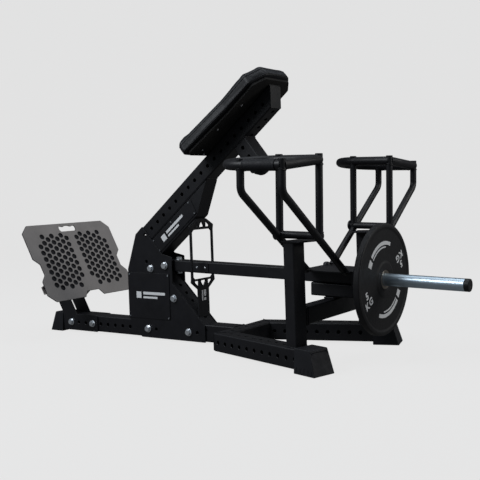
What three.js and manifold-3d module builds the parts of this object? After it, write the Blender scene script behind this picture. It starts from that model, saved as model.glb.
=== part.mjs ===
// Plate-loaded chest-supported row machine: welded and bolted 80 mm box-section
// frame, pivoting lever with two handle cages, loading sleeve and one bumper plate.
// Millimetres, +Z up, floor at z = 0, centre plane at y = 0. +X runs from the foot
// plate (front) to the loading sleeve (rear); right is -Y. Paired pieces are drawn
// on the right and mirrored to the left.
import * as THREE from 'three';
import { mergeVertices } from 'three/addons/utils/BufferGeometryUtils.js';
import Module from 'manifold-3d';

const wasm = await Module();
wasm.setup();

const { degToRad } = THREE.MathUtils;
const vec = (x, y, z) => new THREE.Vector3(x, y, z);
const AXIS_X = vec(1, 0, 0);
const AXIS_Y = vec(0, 1, 0);
const AXIS_Z = vec(0, 0, 1);

// ---------------------------------------------------------------- shared dimensions
const GAP = 0.3;                 // clearance left between neighbouring pieces
const FAR = 2000;                // beyond every piece, for half-space cutters
const BOX = 80;                  // main box section
const HALF = BOX / 2;
const WALL = 4;                  // box section wall
const PITCH = 50;                // spacing of the hole rows
const HOLE_R = 9;                // hole radius, measured to the corners
const HOLE_SEG = 8;
const Z_TOP = 91;                // top of the base beams
const Z_MID = Z_TOP - HALF;      // hole row height of the base beams
const Z_BOT = Z_TOP - BOX;
const PLATE_T = 6;               // plate thickness
const SKIN = HALF + GAP;         // inner face of the side plates
const PLATE_OUT = SKIN + PLATE_T;
const FRONT_X = -1223;           // overall reach, for centring
const REAR_X = 1054.1;

// ---------------------------------------------------------------- materials
const finish = (settings) => () => new THREE.MeshStandardMaterial(settings);
const coat = finish({ color: 0x1c1c20, roughness: 0.55, metalness: 0.35 });
const coatPlate = finish({ color: 0x222227, roughness: 0.5, metalness: 0.35 });
const rubber = finish({ color: 0x121214, roughness: 0.85, metalness: 0 });
const vinyl = finish({ color: 0x15171c, roughness: 0.45, metalness: 0 });
const board = finish({ color: 0x101012, roughness: 0.8, metalness: 0 });
const zinc = finish({ color: 0xb9c0c6, roughness: 0.3, metalness: 0.9 });
const sleeveSteel = finish({ color: 0xa9b6c0, roughness: 0.28, metalness: 0.95 });
const brushed = finish({ color: 0x8d8a85, roughness: 0.45, metalness: 0.8 });
const plastic = finish({ color: 0x0c0c0d, roughness: 0.6, metalness: 0 });
const bronze = finish({ color: 0x9a7a45, roughness: 0.4, metalness: 0.8 });
const discRubber = finish({ color: 0x1b1b1d, roughness: 0.75, metalness: 0 });

// ---------------------------------------------------------------- conversion
function toSolid(geometry, frame) {
  let g = geometry.clone();
  for (const key of Object.keys(g.attributes)) {
    if (key !== 'position') g.deleteAttribute(key);
  }
  if (frame) g.applyMatrix4(frame);
  g = mergeVertices(g, 1e-4);
  return new wasm.Manifold(new wasm.Mesh({
    numProp: 3,
    vertProperties: new Float32Array(g.attributes.position.array),
    triVerts: new Uint32Array(g.index.array),
  }));
}

function toGeometry(solid) {
  const mesh = solid.getMesh();
  const g = new THREE.BufferGeometry();
  g.setAttribute('position', new THREE.BufferAttribute(new Float32Array(mesh.vertProperties), 3));
  g.setIndex(new THREE.BufferAttribute(new Uint32Array(mesh.triVerts), 1));
  return g;
}

// Mirror image across the centre plane, with the triangles turned to face outwards.
function mirrorGeometry(geometry) {
  const g = geometry.clone();
  const position = g.attributes.position;
  for (let i = 0; i < position.count; i++) position.setY(i, -position.getY(i));
  const index = g.index.array.slice();
  for (let i = 0; i < index.length; i += 3) {
    [index[i + 1], index[i + 2]] = [index[i + 2], index[i + 1]];
  }
  g.setIndex(new THREE.BufferAttribute(index, 1));
  return g;
}
const mirrored = (solid) => toSolid(mirrorGeometry(toGeometry(solid)));

const cut = (solid, ...tools) => tools.reduce((rest, tool) => rest.subtract(tool), solid);
const join = (solid, ...others) => others.reduce((sum, other) => sum.add(other), solid);

// Results of make(first) to make(last).
const series = (first, last, make) =>
  Array.from({ length: last - first + 1 }, (_, i) => make(first + i));

// ---------------------------------------------------------------- frames
const frameOf = (ex, ey, ez, origin) =>
  new THREE.Matrix4().makeBasis(ex, ey, ez).setPosition(origin);
const shift = (x, y, z) => new THREE.Matrix4().makeTranslation(x, y, z);
const shifted = (frame, x, y, z) => frame.clone().multiply(shift(x, y, z));
// Local X across the machine to the left, local Z up.
const acrossFrame = (x, z) => frameOf(AXIS_Y, vec(-1, 0, 0), AXIS_Z, vec(x, 0, z));

// ---------------------------------------------------------------- solids
function block(x0, x1, y0, y1, z0, z1, frame) {
  const g = new THREE.BoxGeometry(x1 - x0, y1 - y0, z1 - z0);
  g.translate((x0 + x1) / 2, (y0 + y1) / 2, (z0 + z1) / 2);
  return toSolid(g, frame);
}

// Cutter limited along one axis only.
function slab(axis, from, to, frame) {
  const range = { x: [-FAR, FAR], y: [-FAR, FAR], z: [-FAR, FAR] };
  range[axis] = [from, to];
  return block(...range.x, ...range.y, ...range.z, frame);
}
const above = (axis, limit, frame) => slab(axis, limit, FAR, frame);
const below = (axis, limit, frame) => slab(axis, -FAR, limit, frame);

// Hexahedron from a bottom and a top rectangle, each [x0, x1, y0, y1].
function frustum(bottom, top, z0, z1, frame) {
  const g = new THREE.BoxGeometry(1, 1, 1);
  const p = g.attributes.position;
  for (let i = 0; i < p.count; i++) {
    const isTop = p.getZ(i) > 0;
    const side = isTop ? top : bottom;
    p.setXYZ(i, side[p.getX(i) > 0 ? 1 : 0], side[p.getY(i) > 0 ? 3 : 2], isTop ? z1 : z0);
  }
  return toSolid(g, frame);
}

// Cylinder along a main axis. Centre is (y, z), (x, z) or (x, y), whichever the axis leaves.
function rod(axis, radius, from, to, centreU, centreV, seg = 16, frame = undefined) {
  const g = new THREE.CylinderGeometry(radius, radius, to - from, seg, 1);
  const middle = (from + to) / 2;
  g.rotateY(Math.PI / seg);
  if (axis === 'z') {
    g.rotateX(Math.PI / 2);
    g.translate(centreU, centreV, middle);
  }
  if (axis === 'x') {
    g.rotateZ(-Math.PI / 2);
    g.translate(middle, centreU, centreV);
  }
  if (axis === 'y') g.translate(centreU, middle, centreV);
  return toSolid(g, frame);
}
// Cutters for the hole rows: through both side walls, or through one wall at height z.
const sideHole = (x, z, frame) => rod('y', HOLE_R, -60, 60, x, z, HOLE_SEG, frame);
const faceHole = (x, y, z, frame) => rod('z', HOLE_R, z - 20, z + 20, x, y, HOLE_SEG, frame);

// Open box section along local X.
function boxTube(from, to, width, height, wall, frame) {
  const y = width / 2;
  const z = height / 2;
  return cut(block(from, to, -y, y, -z, z, frame),
    block(from - 5, to + 5, -y + wall, y - wall, -z + wall, z - wall, frame));
}

// Open square box section along local Z.
function uprightTube(half, wall, z0, z1, frame) {
  const inner = half - wall;
  return cut(block(-half, half, -half, half, z0, z1, frame),
    block(-inner, inner, -inner, inner, z0 - 10, z1 + 10, frame));
}

const shapeOf = (points) => new THREE.Shape(points.map((p) => new THREE.Vector2(...p)));

// Polygon with a flat centred on the zero angle; turn is -1 for clockwise.
function ring(centreX, centreY, radius, seg = HOLE_SEG, turn = -1) {
  return series(0, seg - 1, (i) => {
    const angle = turn * 2 * Math.PI * (i + 0.5) / seg;
    return [centreX + radius * Math.cos(angle), centreY + radius * Math.sin(angle)];
  });
}

// Outline in local X and Y, extruded along local Z, with holes cut through.
function sheet(points, depth, frame, holes = []) {
  const extrude = (outline, from, to) => toSolid(
    new THREE.ExtrudeGeometry(shapeOf(outline), { depth: to - from, bevelEnabled: false }),
    shifted(frame, 0, 0, from));
  return cut(extrude(points, 0, depth), ...holes.map((hole) => extrude(hole, -5, depth + 5)));
}

// Right-hand plate: outline in x and z, inner face at y = -inner.
const sidePlate = (points, inner, thickness, holes) =>
  sheet(points, thickness, frameOf(AXIS_X, AXIS_Z, vec(0, -1, 0), vec(0, -inner, 0)), holes);

// Polyline whose extrusion steps fall exactly on its points.
class Stations extends THREE.Curve {
  constructor(points) {
    super();
    this.points = points;
  }

  getUtoTmapping(u) {
    return u;
  }

  getPoint(t, target = new THREE.Vector3()) {
    const last = this.points.length - 1;
    const k = Math.min(last - 1, Math.floor(t * last + 1e-9));
    const along = THREE.MathUtils.clamp(t * last - k, 0, 1);
    return target.lerpVectors(this.points[k], this.points[k + 1], along);
  }

  getTangent(t, target = new THREE.Vector3()) {
    const last = this.points.length - 1;
    const k = Math.round(t * last);
    const before = this.points[Math.max(0, k - 1)];
    const after = this.points[Math.min(last, k + 1)];
    return target.subVectors(after, before).normalize();
  }
}

function sweep(points, radius, seg) {
  const section = shapeOf(ring(0, 0, radius, seg, 1));
  section.closePath();
  return toSolid(new THREE.ExtrudeGeometry(section, {
    steps: points.length - 1,
    extrudePath: new Stations(points),
    bevelEnabled: false,
    curveSegments: 1,
  }));
}

// Closed profile of [radius, x] turned about the X axis, starting at x0.
function turned(profile, seg, x0) {
  const points = [...profile, profile[0]].map((p) => new THREE.Vector2(...p));
  return toSolid(new THREE.LatheGeometry(points, seg),
    frameOf(AXIS_Y, AXIS_X, vec(0, 0, -1), vec(x0, 0, 0)));
}

// Bolt across the side plates: head and washer at -y, washer and nut at +y.
function crossBolt(x, z, radius = 8, acrossFlats = 24) {
  const part = (r, from, to, seg) => rod('y', r, from, to, x, z, seg);
  const seat = PLATE_OUT + GAP;
  const hexR = acrossFlats / Math.sqrt(3);
  const washerR = 17.5;
  return join(part(radius, -PLATE_OUT - 4, PLATE_OUT + 4, 12),
    part(washerR, -seat - 3, -seat, 16),
    part(washerR, seat, seat + 3, 16),
    part(hexR, -seat - 13, -seat - 2.9, 6),
    part(hexR, seat + 2.9, seat + 15, 6),
    part(radius, seat + 14, seat + 20, 12));
}

// ---------------------------------------------------------------- assembly
const machine = new THREE.Group();
machine.position.x = -(FRONT_X + REAR_X) / 2;

function addMesh(parent, name, geometry, material) {
  const mesh = new THREE.Mesh(geometry, material());
  mesh.name = name;
  parent.add(mesh);
}
const put = (parent, name, solid, material) =>
  addMesh(parent, name, toGeometry(solid), material);

// A piece on the right side and its mirror image on the left.
function putPair(parent, name, solid, material) {
  const geometry = toGeometry(solid);
  addMesh(parent, name + '_right', geometry, material);
  addMesh(parent, name + '_left', mirrorGeometry(geometry), material);
}

// ---------------------------------------------------------------- base frame
const SPINE_FRONT = -1180;
const SPINE_HOLES = [-1073, -1023, -973, -923, -873, -823, -773, -723, -673,
  -548, -498, -298, -248];
const SPLAY = degToRad(16.3);    // rear leg splay
const CORNER_Y = 154;            // crossmember corner hole, from the centre plane
const LEG_END = 600;             // leg length past the corner hole
const FOOT_IN = 507;             // rear foot, along the leg from the corner hole
const FOOT_OUT = 624;
const FRONT_FOOT_IN = -1136;

put(machine, 'spine_beam', cut(
  boxTube(SPINE_FRONT, -HALF - GAP, BOX, BOX, WALL, shift(0, 0, Z_MID)),
  ...SPINE_HOLES.map((x) => sideHole(x, Z_MID))), coat);

// Mitre between the crossmember and a splayed leg, through the corner hole.
const legDir = vec(Math.cos(SPLAY), -Math.sin(SPLAY), 0);
const legIn = vec(Math.sin(SPLAY), Math.cos(SPLAY), 0);
const corner = vec(0, -CORNER_Y, Z_MID);
const legFrame = frameOf(legDir, legIn, AXIS_Z, corner);
const mitreNormal = vec(0, -1, 0).add(legDir).normalize();
const mitreFrame = frameOf(mitreNormal, AXIS_Z.clone().cross(mitreNormal).normalize(),
  AXIS_Z, corner);
const pastMitre = above('x', -GAP / 2, mitreFrame);
const cornerHole = faceHole(0, -CORNER_Y, Z_TOP);

put(machine, 'crossmember', cut(
  boxTube(-260, 260, BOX, BOX, WALL, acrossFrame(0, Z_MID)),
  pastMitre, mirrored(pastMitre), cornerHole, mirrored(cornerHole),
  ...series(-2, 2, (i) => faceHole(0, i * PITCH, Z_TOP))), coat);

putPair(machine, 'leg', cut(
  boxTube(-140, LEG_END, BOX, BOX, WALL, legFrame),
  below('x', GAP / 2, mitreFrame), cornerHole,
  ...series(0, 10, (i) => sideHole(i * PITCH, 0, legFrame)),
  ...series(1, 8, (i) => faceHole(i * PITCH, 0, HALF, legFrame))), coat);

// Rubber foot: sloped cap with a socket for the beam end. Each range is [x0, x1].
function footCap(base, top, socket, frame) {
  const play = 0.5;
  const y = HALF + play;
  return cut(
    frustum([...base, -53, 53], [...top, -46, 46], 0, Z_TOP + 6, frame),
    block(...socket, -y, y, Z_BOT - play, Z_TOP + play, frame));
}
putPair(machine, 'rear_foot', footCap([FOOT_IN, FOOT_OUT], [FOOT_IN, FOOT_OUT - 30],
  [FOOT_IN - 20, LEG_END + 1], frameOf(legDir, legIn, AXIS_Z, vec(0, -CORNER_Y, 0))), rubber);
put(machine, 'front_foot', footCap([FRONT_X, FRONT_FOOT_IN], [-1192, FRONT_FOOT_IN],
  [SPINE_FRONT - 1, -1100]), rubber);

// ---------------------------------------------------------------- columns and cross beam
const COLUMN_STATION = 470;      // along the leg from the corner hole
const COLUMN_TOP = 495;
const COLUMN_HALF = 30;
const BEAM_H = 70;
const BEAM_TOP = 240;

const columnAt = corner.clone().addScaledVector(legDir, COLUMN_STATION);
const columnFrame = frameOf(legDir, legIn, AXIS_Z, vec(columnAt.x, columnAt.y, 0));
putPair(machine, 'column',
  uprightTube(COLUMN_HALF, 3, Z_TOP + GAP, COLUMN_TOP, columnFrame), coat);
putPair(machine, 'rest_plate',
  block(-35, 76, -38, 82, COLUMN_TOP + GAP, COLUMN_TOP + GAP + PLATE_T, columnFrame), coat);

// The beam ends just short of the inner faces of the columns.
const beyondColumn = below('y', COLUMN_HALF + GAP, columnFrame);
put(machine, 'cross_beam', cut(
  boxTube(-320, 320, 2 * COLUMN_HALF, BEAM_H, WALL,
    acrossFrame(columnAt.x, BEAM_TOP - BEAM_H / 2)),
  beyondColumn, mirrored(beyondColumn)), coat);
put(machine, 'lever_stop_pad',
  block(columnAt.x - 24, columnAt.x + 24, -36, 36, BEAM_TOP + GAP, 248.2), rubber);

// ---------------------------------------------------------------- arm and post
const ARM_X = -548.5;            // first hole of the arm
const ARM_Z = 497.2;
const ARM_ANGLE = degToRad(38.8);
const ARM_HOLES = 19;
const ARM_FACE_FIRST = 15;       // first side hole paired with one in the underside
const ARM_END_X = 192;
const POST_X = -625;             // tower post centre
const SEAT = [-667, 332];        // [x, z] where the arm's sloped end meets the post
const DOUBLER_DROP = 131;        // underside of the doubler below the arm's centre line

// Stations run up the arm from its first hole; heights are from its centre line.
const armDir = vec(Math.cos(ARM_ANGLE), 0, Math.sin(ARM_ANGLE));
const armNormal = vec(-Math.sin(ARM_ANGLE), 0, Math.cos(ARM_ANGLE));
const armFrame = frameOf(armDir, AXIS_Y, armNormal, vec(ARM_X, 0, ARM_Z));
const armPoint = (station, height) => [
  ARM_X + station * armDir.x + height * armNormal.x,
  ARM_Z + station * armDir.z + height * armNormal.z];
const directionTo = (from, to) => vec(to[0] - from[0], 0, to[1] - from[1]).normalize();

// The lower end slopes 1 mm inside the edge of the gussets; the upper end is vertical.
const armLowEnd = armPoint(-45, HALF);
const slopeDir = directionTo(SEAT, armLowEnd);
const slopeFrame = frameOf(vec(-slopeDir.z, 0, slopeDir.x), vec(0, -1, 0), slopeDir,
  vec(SEAT[0] + 1, 0, SEAT[1]));
put(machine, 'main_arm', cut(
  boxTube(-260, 1200, BOX, BOX, WALL, armFrame),
  above('x', 0, slopeFrame), above('x', ARM_END_X),
  ...series(0, ARM_HOLES - 1, (i) => sideHole(i * PITCH, 0, armFrame)),
  ...series(ARM_FACE_FIRST, ARM_HOLES - 1,
    (i) => faceHole(i * PITCH, 0, -HALF, armFrame))), coat);

const armEndZ = ARM_Z + (ARM_END_X - ARM_X) * Math.tan(ARM_ANGLE);
put(machine, 'arm_end_cap', block(ARM_END_X + GAP, ARM_END_X + 4, -HALF, HALF,
  armEndZ - 50, armEndZ + 46), plastic);

put(machine, 'tower_post', cut(
  uprightTube(HALF, WALL, Z_TOP + GAP, 480, shift(POST_X, 0, 0)),
  above('z', -HALF - GAP, armFrame)), coat);

// Second box section under the arm, with a sloped closed end.
const doublerLow = armPoint(300, -DOUBLER_DROP);
const doublerDir = directionTo(doublerLow, armPoint(462, -37));
const doublerEnd = frameOf(vec(doublerDir.z, 0, -doublerDir.x), AXIS_Y, doublerDir,
  vec(doublerLow[0], 0, doublerLow[1]));
const doublerInner = cut(
  block(-300, 600, -HALF + WALL, HALF - WALL, -DOUBLER_DROP + WALL, -HALF - WALL, armFrame),
  above('x', -WALL, doublerEnd));
put(machine, 'arm_doubler', cut(
  block(-200, 600, -HALF, HALF, -DOUBLER_DROP, -HALF - GAP, armFrame),
  above('x', 0, doublerEnd), below('x', POST_X + HALF + GAP), doublerInner), coat);

// ---------------------------------------------------------------- brace and gussets
const BRACE_C = -115;            // upper face of the brace: z = -x + BRACE_C
const BRACE_HOLES_Z = [261, 226, 191, 156, 121];   // heights above the floor
const PIVOT_X = -429;
const PIVOT_Z = 355;
const COVER_T = 3;
// Bolts through the gussets: [x, z].
const GUSSET_BOLTS = {
  upper: [-518, 339],
  brace: [-380, 203],
  base_front: [-548, Z_MID],
  base_rear: [-298, Z_MID],
};

// Brace at 45 degrees from the spine up to the gussets; local z = 0 is its upper face.
const DIAGONAL = Math.SQRT1_2;
const braceFrame = frameOf(vec(DIAGONAL, 0, -DIAGONAL), AXIS_Y,
  vec(DIAGONAL, 0, DIAGONAL), vec(0, 0, BRACE_C));
put(machine, 'brace_tube', cut(
  boxTube(-900, 200, BOX, BOX, WALL, shifted(braceFrame, 0, 0, -HALF)),
  below('x', -450), below('z', Z_TOP + GAP),
  ...BRACE_HOLES_Z.map((z) => faceHole((BRACE_C - z) / DIAGONAL, 0, 0, braceFrame)),
  sideHole(...GUSSET_BOLTS.brace)), coat);

// Side plates that join spine, post, brace, arm and pivot: [x, z].
const GUSSET_EDGE = [
  [-667, 98], [-590, 9], [-201, 9], [-201, 85.5], [-387, 271.5], [-387, 396],
  armPoint(24, -DOUBLER_DROP - 2), armPoint(12, HALF + 1), armLowEnd, SEAT];
const gussetHoles = [
  ...Object.values(GUSSET_BOLTS).map(([x, z]) => ring(x, z, HOLE_R)),
  ring(PIVOT_X, PIVOT_Z, 11.2, 16), ring(-544, 371, 8),
  ring(-498, Z_MID, HOLE_R), ring(-248, Z_MID, HOLE_R), ring(ARM_X, ARM_Z, HOLE_R)];
putPair(machine, 'gusset', sidePlate(GUSSET_EDGE, SKIN, PLATE_T, gussetHoles), coatPlate);
putPair(machine, 'cover_plate', sidePlate(
  [[-665, 100], [-405, 100], [-405, 317], [-665, 317]], PLATE_OUT + GAP, COVER_T), coatPlate);

for (const [name, [x, z]] of Object.entries(GUSSET_BOLTS)) {
  put(machine, 'bolt_' + name, crossBolt(x, z), zinc);
}
put(machine, 'pivot_axle', crossBolt(PIVOT_X, PIVOT_Z, 10, 27), zinc);

// ---------------------------------------------------------------- guide post and upper stop
const GUIDE_X = -246;            // front face of the guide post
const GUIDE_T = 8;
const STOP_STATION = 700;        // along the arm
const STOP_END = -180;           // lower end, from the arm's centre line
// Outlines in y and z.
const GUIDE_OUTER = [
  [-38, 108], [38, 108], [38, 250], [83, 284], [80, 302], [80, 520], [84, 542], [30, 596],
  [-30, 596], [-84, 542], [-80, 520], [-80, 302], [-83, 284], [-38, 250]];
const GUIDE_OPENINGS = [
  // tall window for the lever
  [[-68, 308], [-56, 298], [56, 298], [68, 308], [68, 512], [56, 523], [-56, 523], [-68, 512]],
  // triangles above it
  [[-62, 534], [-28, 534], [-30, 560]],
  [[-18, 534], [18, 534], [0, 564]],
  [[62, 534], [30, 560], [28, 534]],
  // triangles below it
  [[-66, 289], [-34, 262], [-32, 289]],
  [[-20, 289], [0, 259], [20, 289]],
  [[66, 289], [32, 289], [34, 262]],
];

// Plate across the machine, standing on the brace and ending under the doubler.
put(machine, 'guide_post', cut(
  sheet(GUIDE_OUTER, GUIDE_T, frameOf(AXIS_Y, AXIS_Z, AXIS_X, vec(GUIDE_X, 0, 0)),
    GUIDE_OPENINGS),
  below('z', GAP, braceFrame), above('z', -DOUBLER_DROP - GAP, armFrame)), coatPlate);

// Short box section under the arm with a rubber end.
const stopFrame = shifted(armFrame, STOP_STATION, 0, 0);
put(machine, 'stop_bracket', cut(
  uprightTube(HALF, WALL, STOP_END, -HALF - GAP, stopFrame),
  sideHole(0, -70, stopFrame), sideHole(0, -120, stopFrame)), coat);
put(machine, 'upper_bumper', frustum([-26, 26, -26, 26], [-39, 39, -39, 39],
  STOP_END - 32, STOP_END - GAP, stopFrame), rubber);

// ---------------------------------------------------------------- chest pad
const PAD_LOW = 503;             // ends of the pad, as stations along the arm
const PAD_HIGH = 1024;
const PAD_W = 149;               // half widths
const PAD_LOW_W = 178;
const PAD_TOP = 119;
const BOARD_INSET = 16;
const BOARD_TOP = HALF + 13;

// Outline in the plane of the arm: wider at the low end, with small corners there and
// long tapers at the high end. Edges are drawn in by inset and rounded by round.
function padSolid(inset, bottom, top, round) {
  const low = PAD_LOW + inset;
  const high = PAD_HIGH - inset;
  const w = PAD_W - inset;
  const lowW = PAD_LOW_W - inset;
  const outline = shapeOf([
    [low, -lowW + 16], [low + 16, -lowW], [800, -w], [960, -w], [high, -84],
    [high, 84], [960, w], [800, w], [low + 16, lowW], [low, lowW - 16]]);
  return toSolid(new THREE.ExtrudeGeometry(outline, {
    depth: top - bottom - 2 * round,
    bevelEnabled: round > 0,
    bevelThickness: round,
    bevelSize: round,
    bevelOffset: -round,
    bevelSegments: 3,
  }), shifted(armFrame, 0, 0, bottom + round));
}
put(machine, 'pad_board', padSolid(BOARD_INSET, HALF + 1, BOARD_TOP, 0), board);
put(machine, 'chest_pad', padSolid(0, BOARD_TOP + GAP, PAD_TOP, 20), vinyl);

// ---------------------------------------------------------------- foot plate
const FOOT_X0 = -914;            // foot plate plane, on the centre plane
const FOOT_Z0 = 134;
const FOOT_TILT = degToRad(60.8);
const SHEET_T = 5;
const MAT_T = 8;
const CHANNEL_W = 40;
const BRACKET_HOLES = [-1073, -1023, -973, -923];
// Outlines as [y, distance up the plate]; the plate's is its left half, from the bottom up.
const FOOT_HALF = [[40, 98], [66, 62], [242, 62], [282, 99], [278, 174], [251, 206],
  [252, 264], [282, 296], [283, 437], [243, 478]];
const FOOT_SLOT = [[-52, 457], [-44, 464], [44, 464], [52, 457],
  [52, 442], [44, 435], [-44, 435], [-52, 442]];
const MAT_LEFT = [[26, 118], [216, 118], [232, 150], [232, 404], [216, 428], [26, 428]];

// Local X across, local Y up the plate, local Z out of its upper face.
const footUp = vec(-Math.cos(FOOT_TILT), 0, Math.sin(FOOT_TILT));
const footNormal = vec(Math.sin(FOOT_TILT), 0, Math.cos(FOOT_TILT));
const footFrame = frameOf(AXIS_Y, footUp, footNormal, vec(FOOT_X0, 0, FOOT_Z0));
const footOutline = [...FOOT_HALF, ...FOOT_HALF.slice().reverse().map(([y, up]) => [-y, up])];
put(machine, 'foot_plate',
  sheet(footOutline, SHEET_T, shifted(footFrame, 0, 0, -SHEET_T), [FOOT_SLOT]), brushed);

// Mats under the sheet.
const mat = toGeometry(sheet(MAT_LEFT, MAT_T, shifted(footFrame, 0, 0, -SHEET_T - GAP - MAT_T)));
addMesh(machine, 'foot_mat_left', mat, rubber);
addMesh(machine, 'foot_mat_right', mirrorGeometry(mat), rubber);

// Folded channels across the back: [name, lower edge, half length].
for (const [name, start, half] of [['lower', 122, 264], ['upper', 385, 212]]) {
  put(machine, 'foot_channel_' + name, cut(
    block(-half, half, start, start + CHANNEL_W, -42, -13.6, footFrame),
    block(-290, 290, start + WALL, start + CHANNEL_W - WALL, -42 + WALL, 0, footFrame)),
  brushed);
}

// [x, z] of a point up the plate and behind its face.
const behind = (up, depth) => [
  FOOT_X0 + up * footUp.x - depth * footNormal.x,
  FOOT_Z0 + up * footUp.z - depth * footNormal.z];
putPair(machine, 'foot_bracket', sidePlate([
  [-1128, 10], [-890, 10], [-890, 92], [-1036, 92], behind(104, 128), behind(120, 42.3),
  behind(164, 42.3), behind(174, 54), behind(374, 54), behind(384, 42.3), behind(426, 42.3),
  behind(431, 62), behind(130, 212), [-1133, 95]], SKIN, PLATE_T,
BRACKET_HOLES.map((x) => ring(x, Z_MID, HOLE_R))), coatPlate);
put(machine, 'bolt_bracket_front', crossBolt(BRACKET_HOLES[0], Z_MID), zinc);
put(machine, 'bolt_bracket_rear', crossBolt(BRACKET_HOLES[3], Z_MID), zinc);

// ---------------------------------------------------------------- lever
// Origin on the pivot, local X along the lever.
const LEVER_TILT = degToRad(1.53);
const LEVER_W = 60;
const LEVER_TOP = 26;            // half height of the tube
const LEVER_END = 1003;
const FLANGE_END = 1013;
const KNUCKLE = 36;              // half width of the pivot housing
const KNUCKLE_BOLT_X = 48;
const LEVER_BOX_H = 55;

const lever = new THREE.Group();
lever.position.set(PIVOT_X, 0, PIVOT_Z);
lever.rotation.y = LEVER_TILT;
machine.add(lever);

const knuckleHole = rod('z', 8.6, -60, 60, KNUCKLE_BOLT_X, 0, 12);
put(lever, 'lever_knuckle', cut(
  join(rod('y', 25, -KNUCKLE, KNUCKLE, 0, 0, 24), block(8, 108, -25, 25, -21, 21)),
  rod('y', 14, -50, 50, 0, 0, 24), knuckleHole), coatPlate);
putPair(lever, 'pivot_bush', cut(
  join(rod('y', 13.6, -KNUCKLE - 2, -12, 0, 0, 24),
    rod('y', 20, -SKIN + GAP, -KNUCKLE - GAP, 0, 0, 24)),
  rod('y', 10.4, -60, 60, 0, 0, 24)), bronze);
put(lever, 'lever_tube', cut(
  boxTube(31, LEVER_END, LEVER_W, 2 * LEVER_TOP, WALL), knuckleHole), coat);

// Upright bolt: shank, washers, head on top and nut below.
const uprightPart = (radius, from, to, seg) =>
  rod('z', radius, from, to, KNUCKLE_BOLT_X, 0, seg);
put(lever, 'knuckle_bolt', join(
  uprightPart(8, -LEVER_TOP - 4, LEVER_TOP + 4, 12),
  uprightPart(15, LEVER_TOP + GAP, LEVER_TOP + 3, 16),
  uprightPart(15, -LEVER_TOP - 3, -LEVER_TOP - GAP, 16),
  uprightPart(13.8, LEVER_TOP + 2.9, LEVER_TOP + 13, 6),
  uprightPart(13.8, -LEVER_TOP - 16, -LEVER_TOP - 2.9, 6)), zinc);

putPair(lever, 'guide_plate',
  block(162, 248, -LEVER_W / 2 - GAP - 3, -LEVER_W / 2 - GAP, -21, 21), coatPlate);
const topPlateTop = LEVER_TOP + GAP + PLATE_T;
put(lever, 'lever_top_plate',
  block(785, LEVER_END, -100, 100, LEVER_TOP + GAP, topPlateTop), coatPlate);
put(lever, 'lever_box', boxTube(800, 1000, BOX, LEVER_BOX_H, WALL,
  shift(0, 0, -LEVER_TOP - GAP - LEVER_BOX_H / 2)), coat);
put(lever, 'lever_flange', block(LEVER_END + GAP, FLANGE_END, -60, 60, -38, 36), coatPlate);

// ---------------------------------------------------------------- handle cages
const CAGE_X1 = 819;             // planes of the cage legs, from the pivot
const CAGE_X2 = 999;
const CAGE_IN = 295;             // inner and outer bars, from the centre plane
const CAGE_OUT = 543;
const LOOP_IN = 478;             // heights of the inner and outer top bars
const LOOP_OUT = 457;
const LOOP_R = 19;               // tube radii
const LEG_R = 14.5;
const RAIL_Z = 191;
const LOOP_BEND_X = 824;         // centre of the loop's half-round front
const STRUT_SLOPE = 0.745;       // rise of a strut per unit of y
const BEND_Z = 362;              // height where leg and strut centre lines meet
const LEG_BEND_R = 42;

// Outer leg: straight down, then bent inwards and on as a strut to the lever.
function bentLeg(x) {
  const turn = Math.atan2(1, STRUT_SLOPE);
  const bendTop = BEND_Z + LEG_BEND_R * Math.tan(turn / 2);
  const strutEndZ = 10;
  const strutEndY = -(CAGE_OUT - (BEND_Z - strutEndZ) / STRUT_SLOPE);
  const bend = series(1, 4, (i) => {
    const angle = turn * i / 4;
    return vec(x, -CAGE_OUT + LEG_BEND_R - LEG_BEND_R * Math.cos(angle),
      bendTop - LEG_BEND_R * Math.sin(angle));
  });
  return sweep([vec(x, -CAGE_OUT, LOOP_OUT + LOOP_R + 4), vec(x, -CAGE_OUT, bendTop),
    ...bend, vec(x, strutEndY, strutEndZ)], LEG_R, 10);
}
const innerLeg = (x) => rod('z', LEG_R, RAIL_Z, LOOP_IN + LOOP_R + 4, x, -CAGE_IN, 10);

// Top loop: from the inner rear corner round the front bend to the outer rear corner.
const loopBendR = (CAGE_OUT - CAGE_IN) / 2;
const loopMidY = -(CAGE_OUT + CAGE_IN) / 2;
const loopAt = (x, y) => vec(x, y,
  LOOP_IN + (LOOP_OUT - LOOP_IN) * (-y - CAGE_IN) / (CAGE_OUT - CAGE_IN));
const loopStart = loopAt(CAGE_X2, -CAGE_IN);
const loopEnd = loopAt(CAGE_X2, -CAGE_OUT);
const loopBend = series(0, 12, (i) => {
  const angle = Math.PI / 2 + Math.PI * i / 12;
  return loopAt(LOOP_BEND_X + loopBendR * Math.cos(angle),
    loopMidY + loopBendR * Math.sin(angle));
});

putPair(lever, 'handle_cage', cut(join(
  sweep([loopStart, ...loopBend, loopEnd], LOOP_R, 12),
  sweep([loopEnd, loopStart], LOOP_R, 12),
  innerLeg(CAGE_X1), innerLeg(CAGE_X2), bentLeg(CAGE_X1), bentLeg(CAGE_X2),
  // rail along the feet of the inner legs, with a disc on its front end
  rod('x', 15, CAGE_X1 - 12, CAGE_X2 + 12, -CAGE_IN, RAIL_Z, 12),
  rod('x', 22, CAGE_X1 - 20, CAGE_X1 - 11, -CAGE_IN, RAIL_Z, 16)),
below('z', topPlateTop + GAP)), coat);
putPair(lever, 'hand_grip', cut(
  rod('x', 21.5, CAGE_X1 + 18, CAGE_X2 - 22, -CAGE_OUT, LOOP_OUT, 16),
  rod('x', 19.8, 0, FAR, -CAGE_OUT, LOOP_OUT, 16)), rubber);

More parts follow.
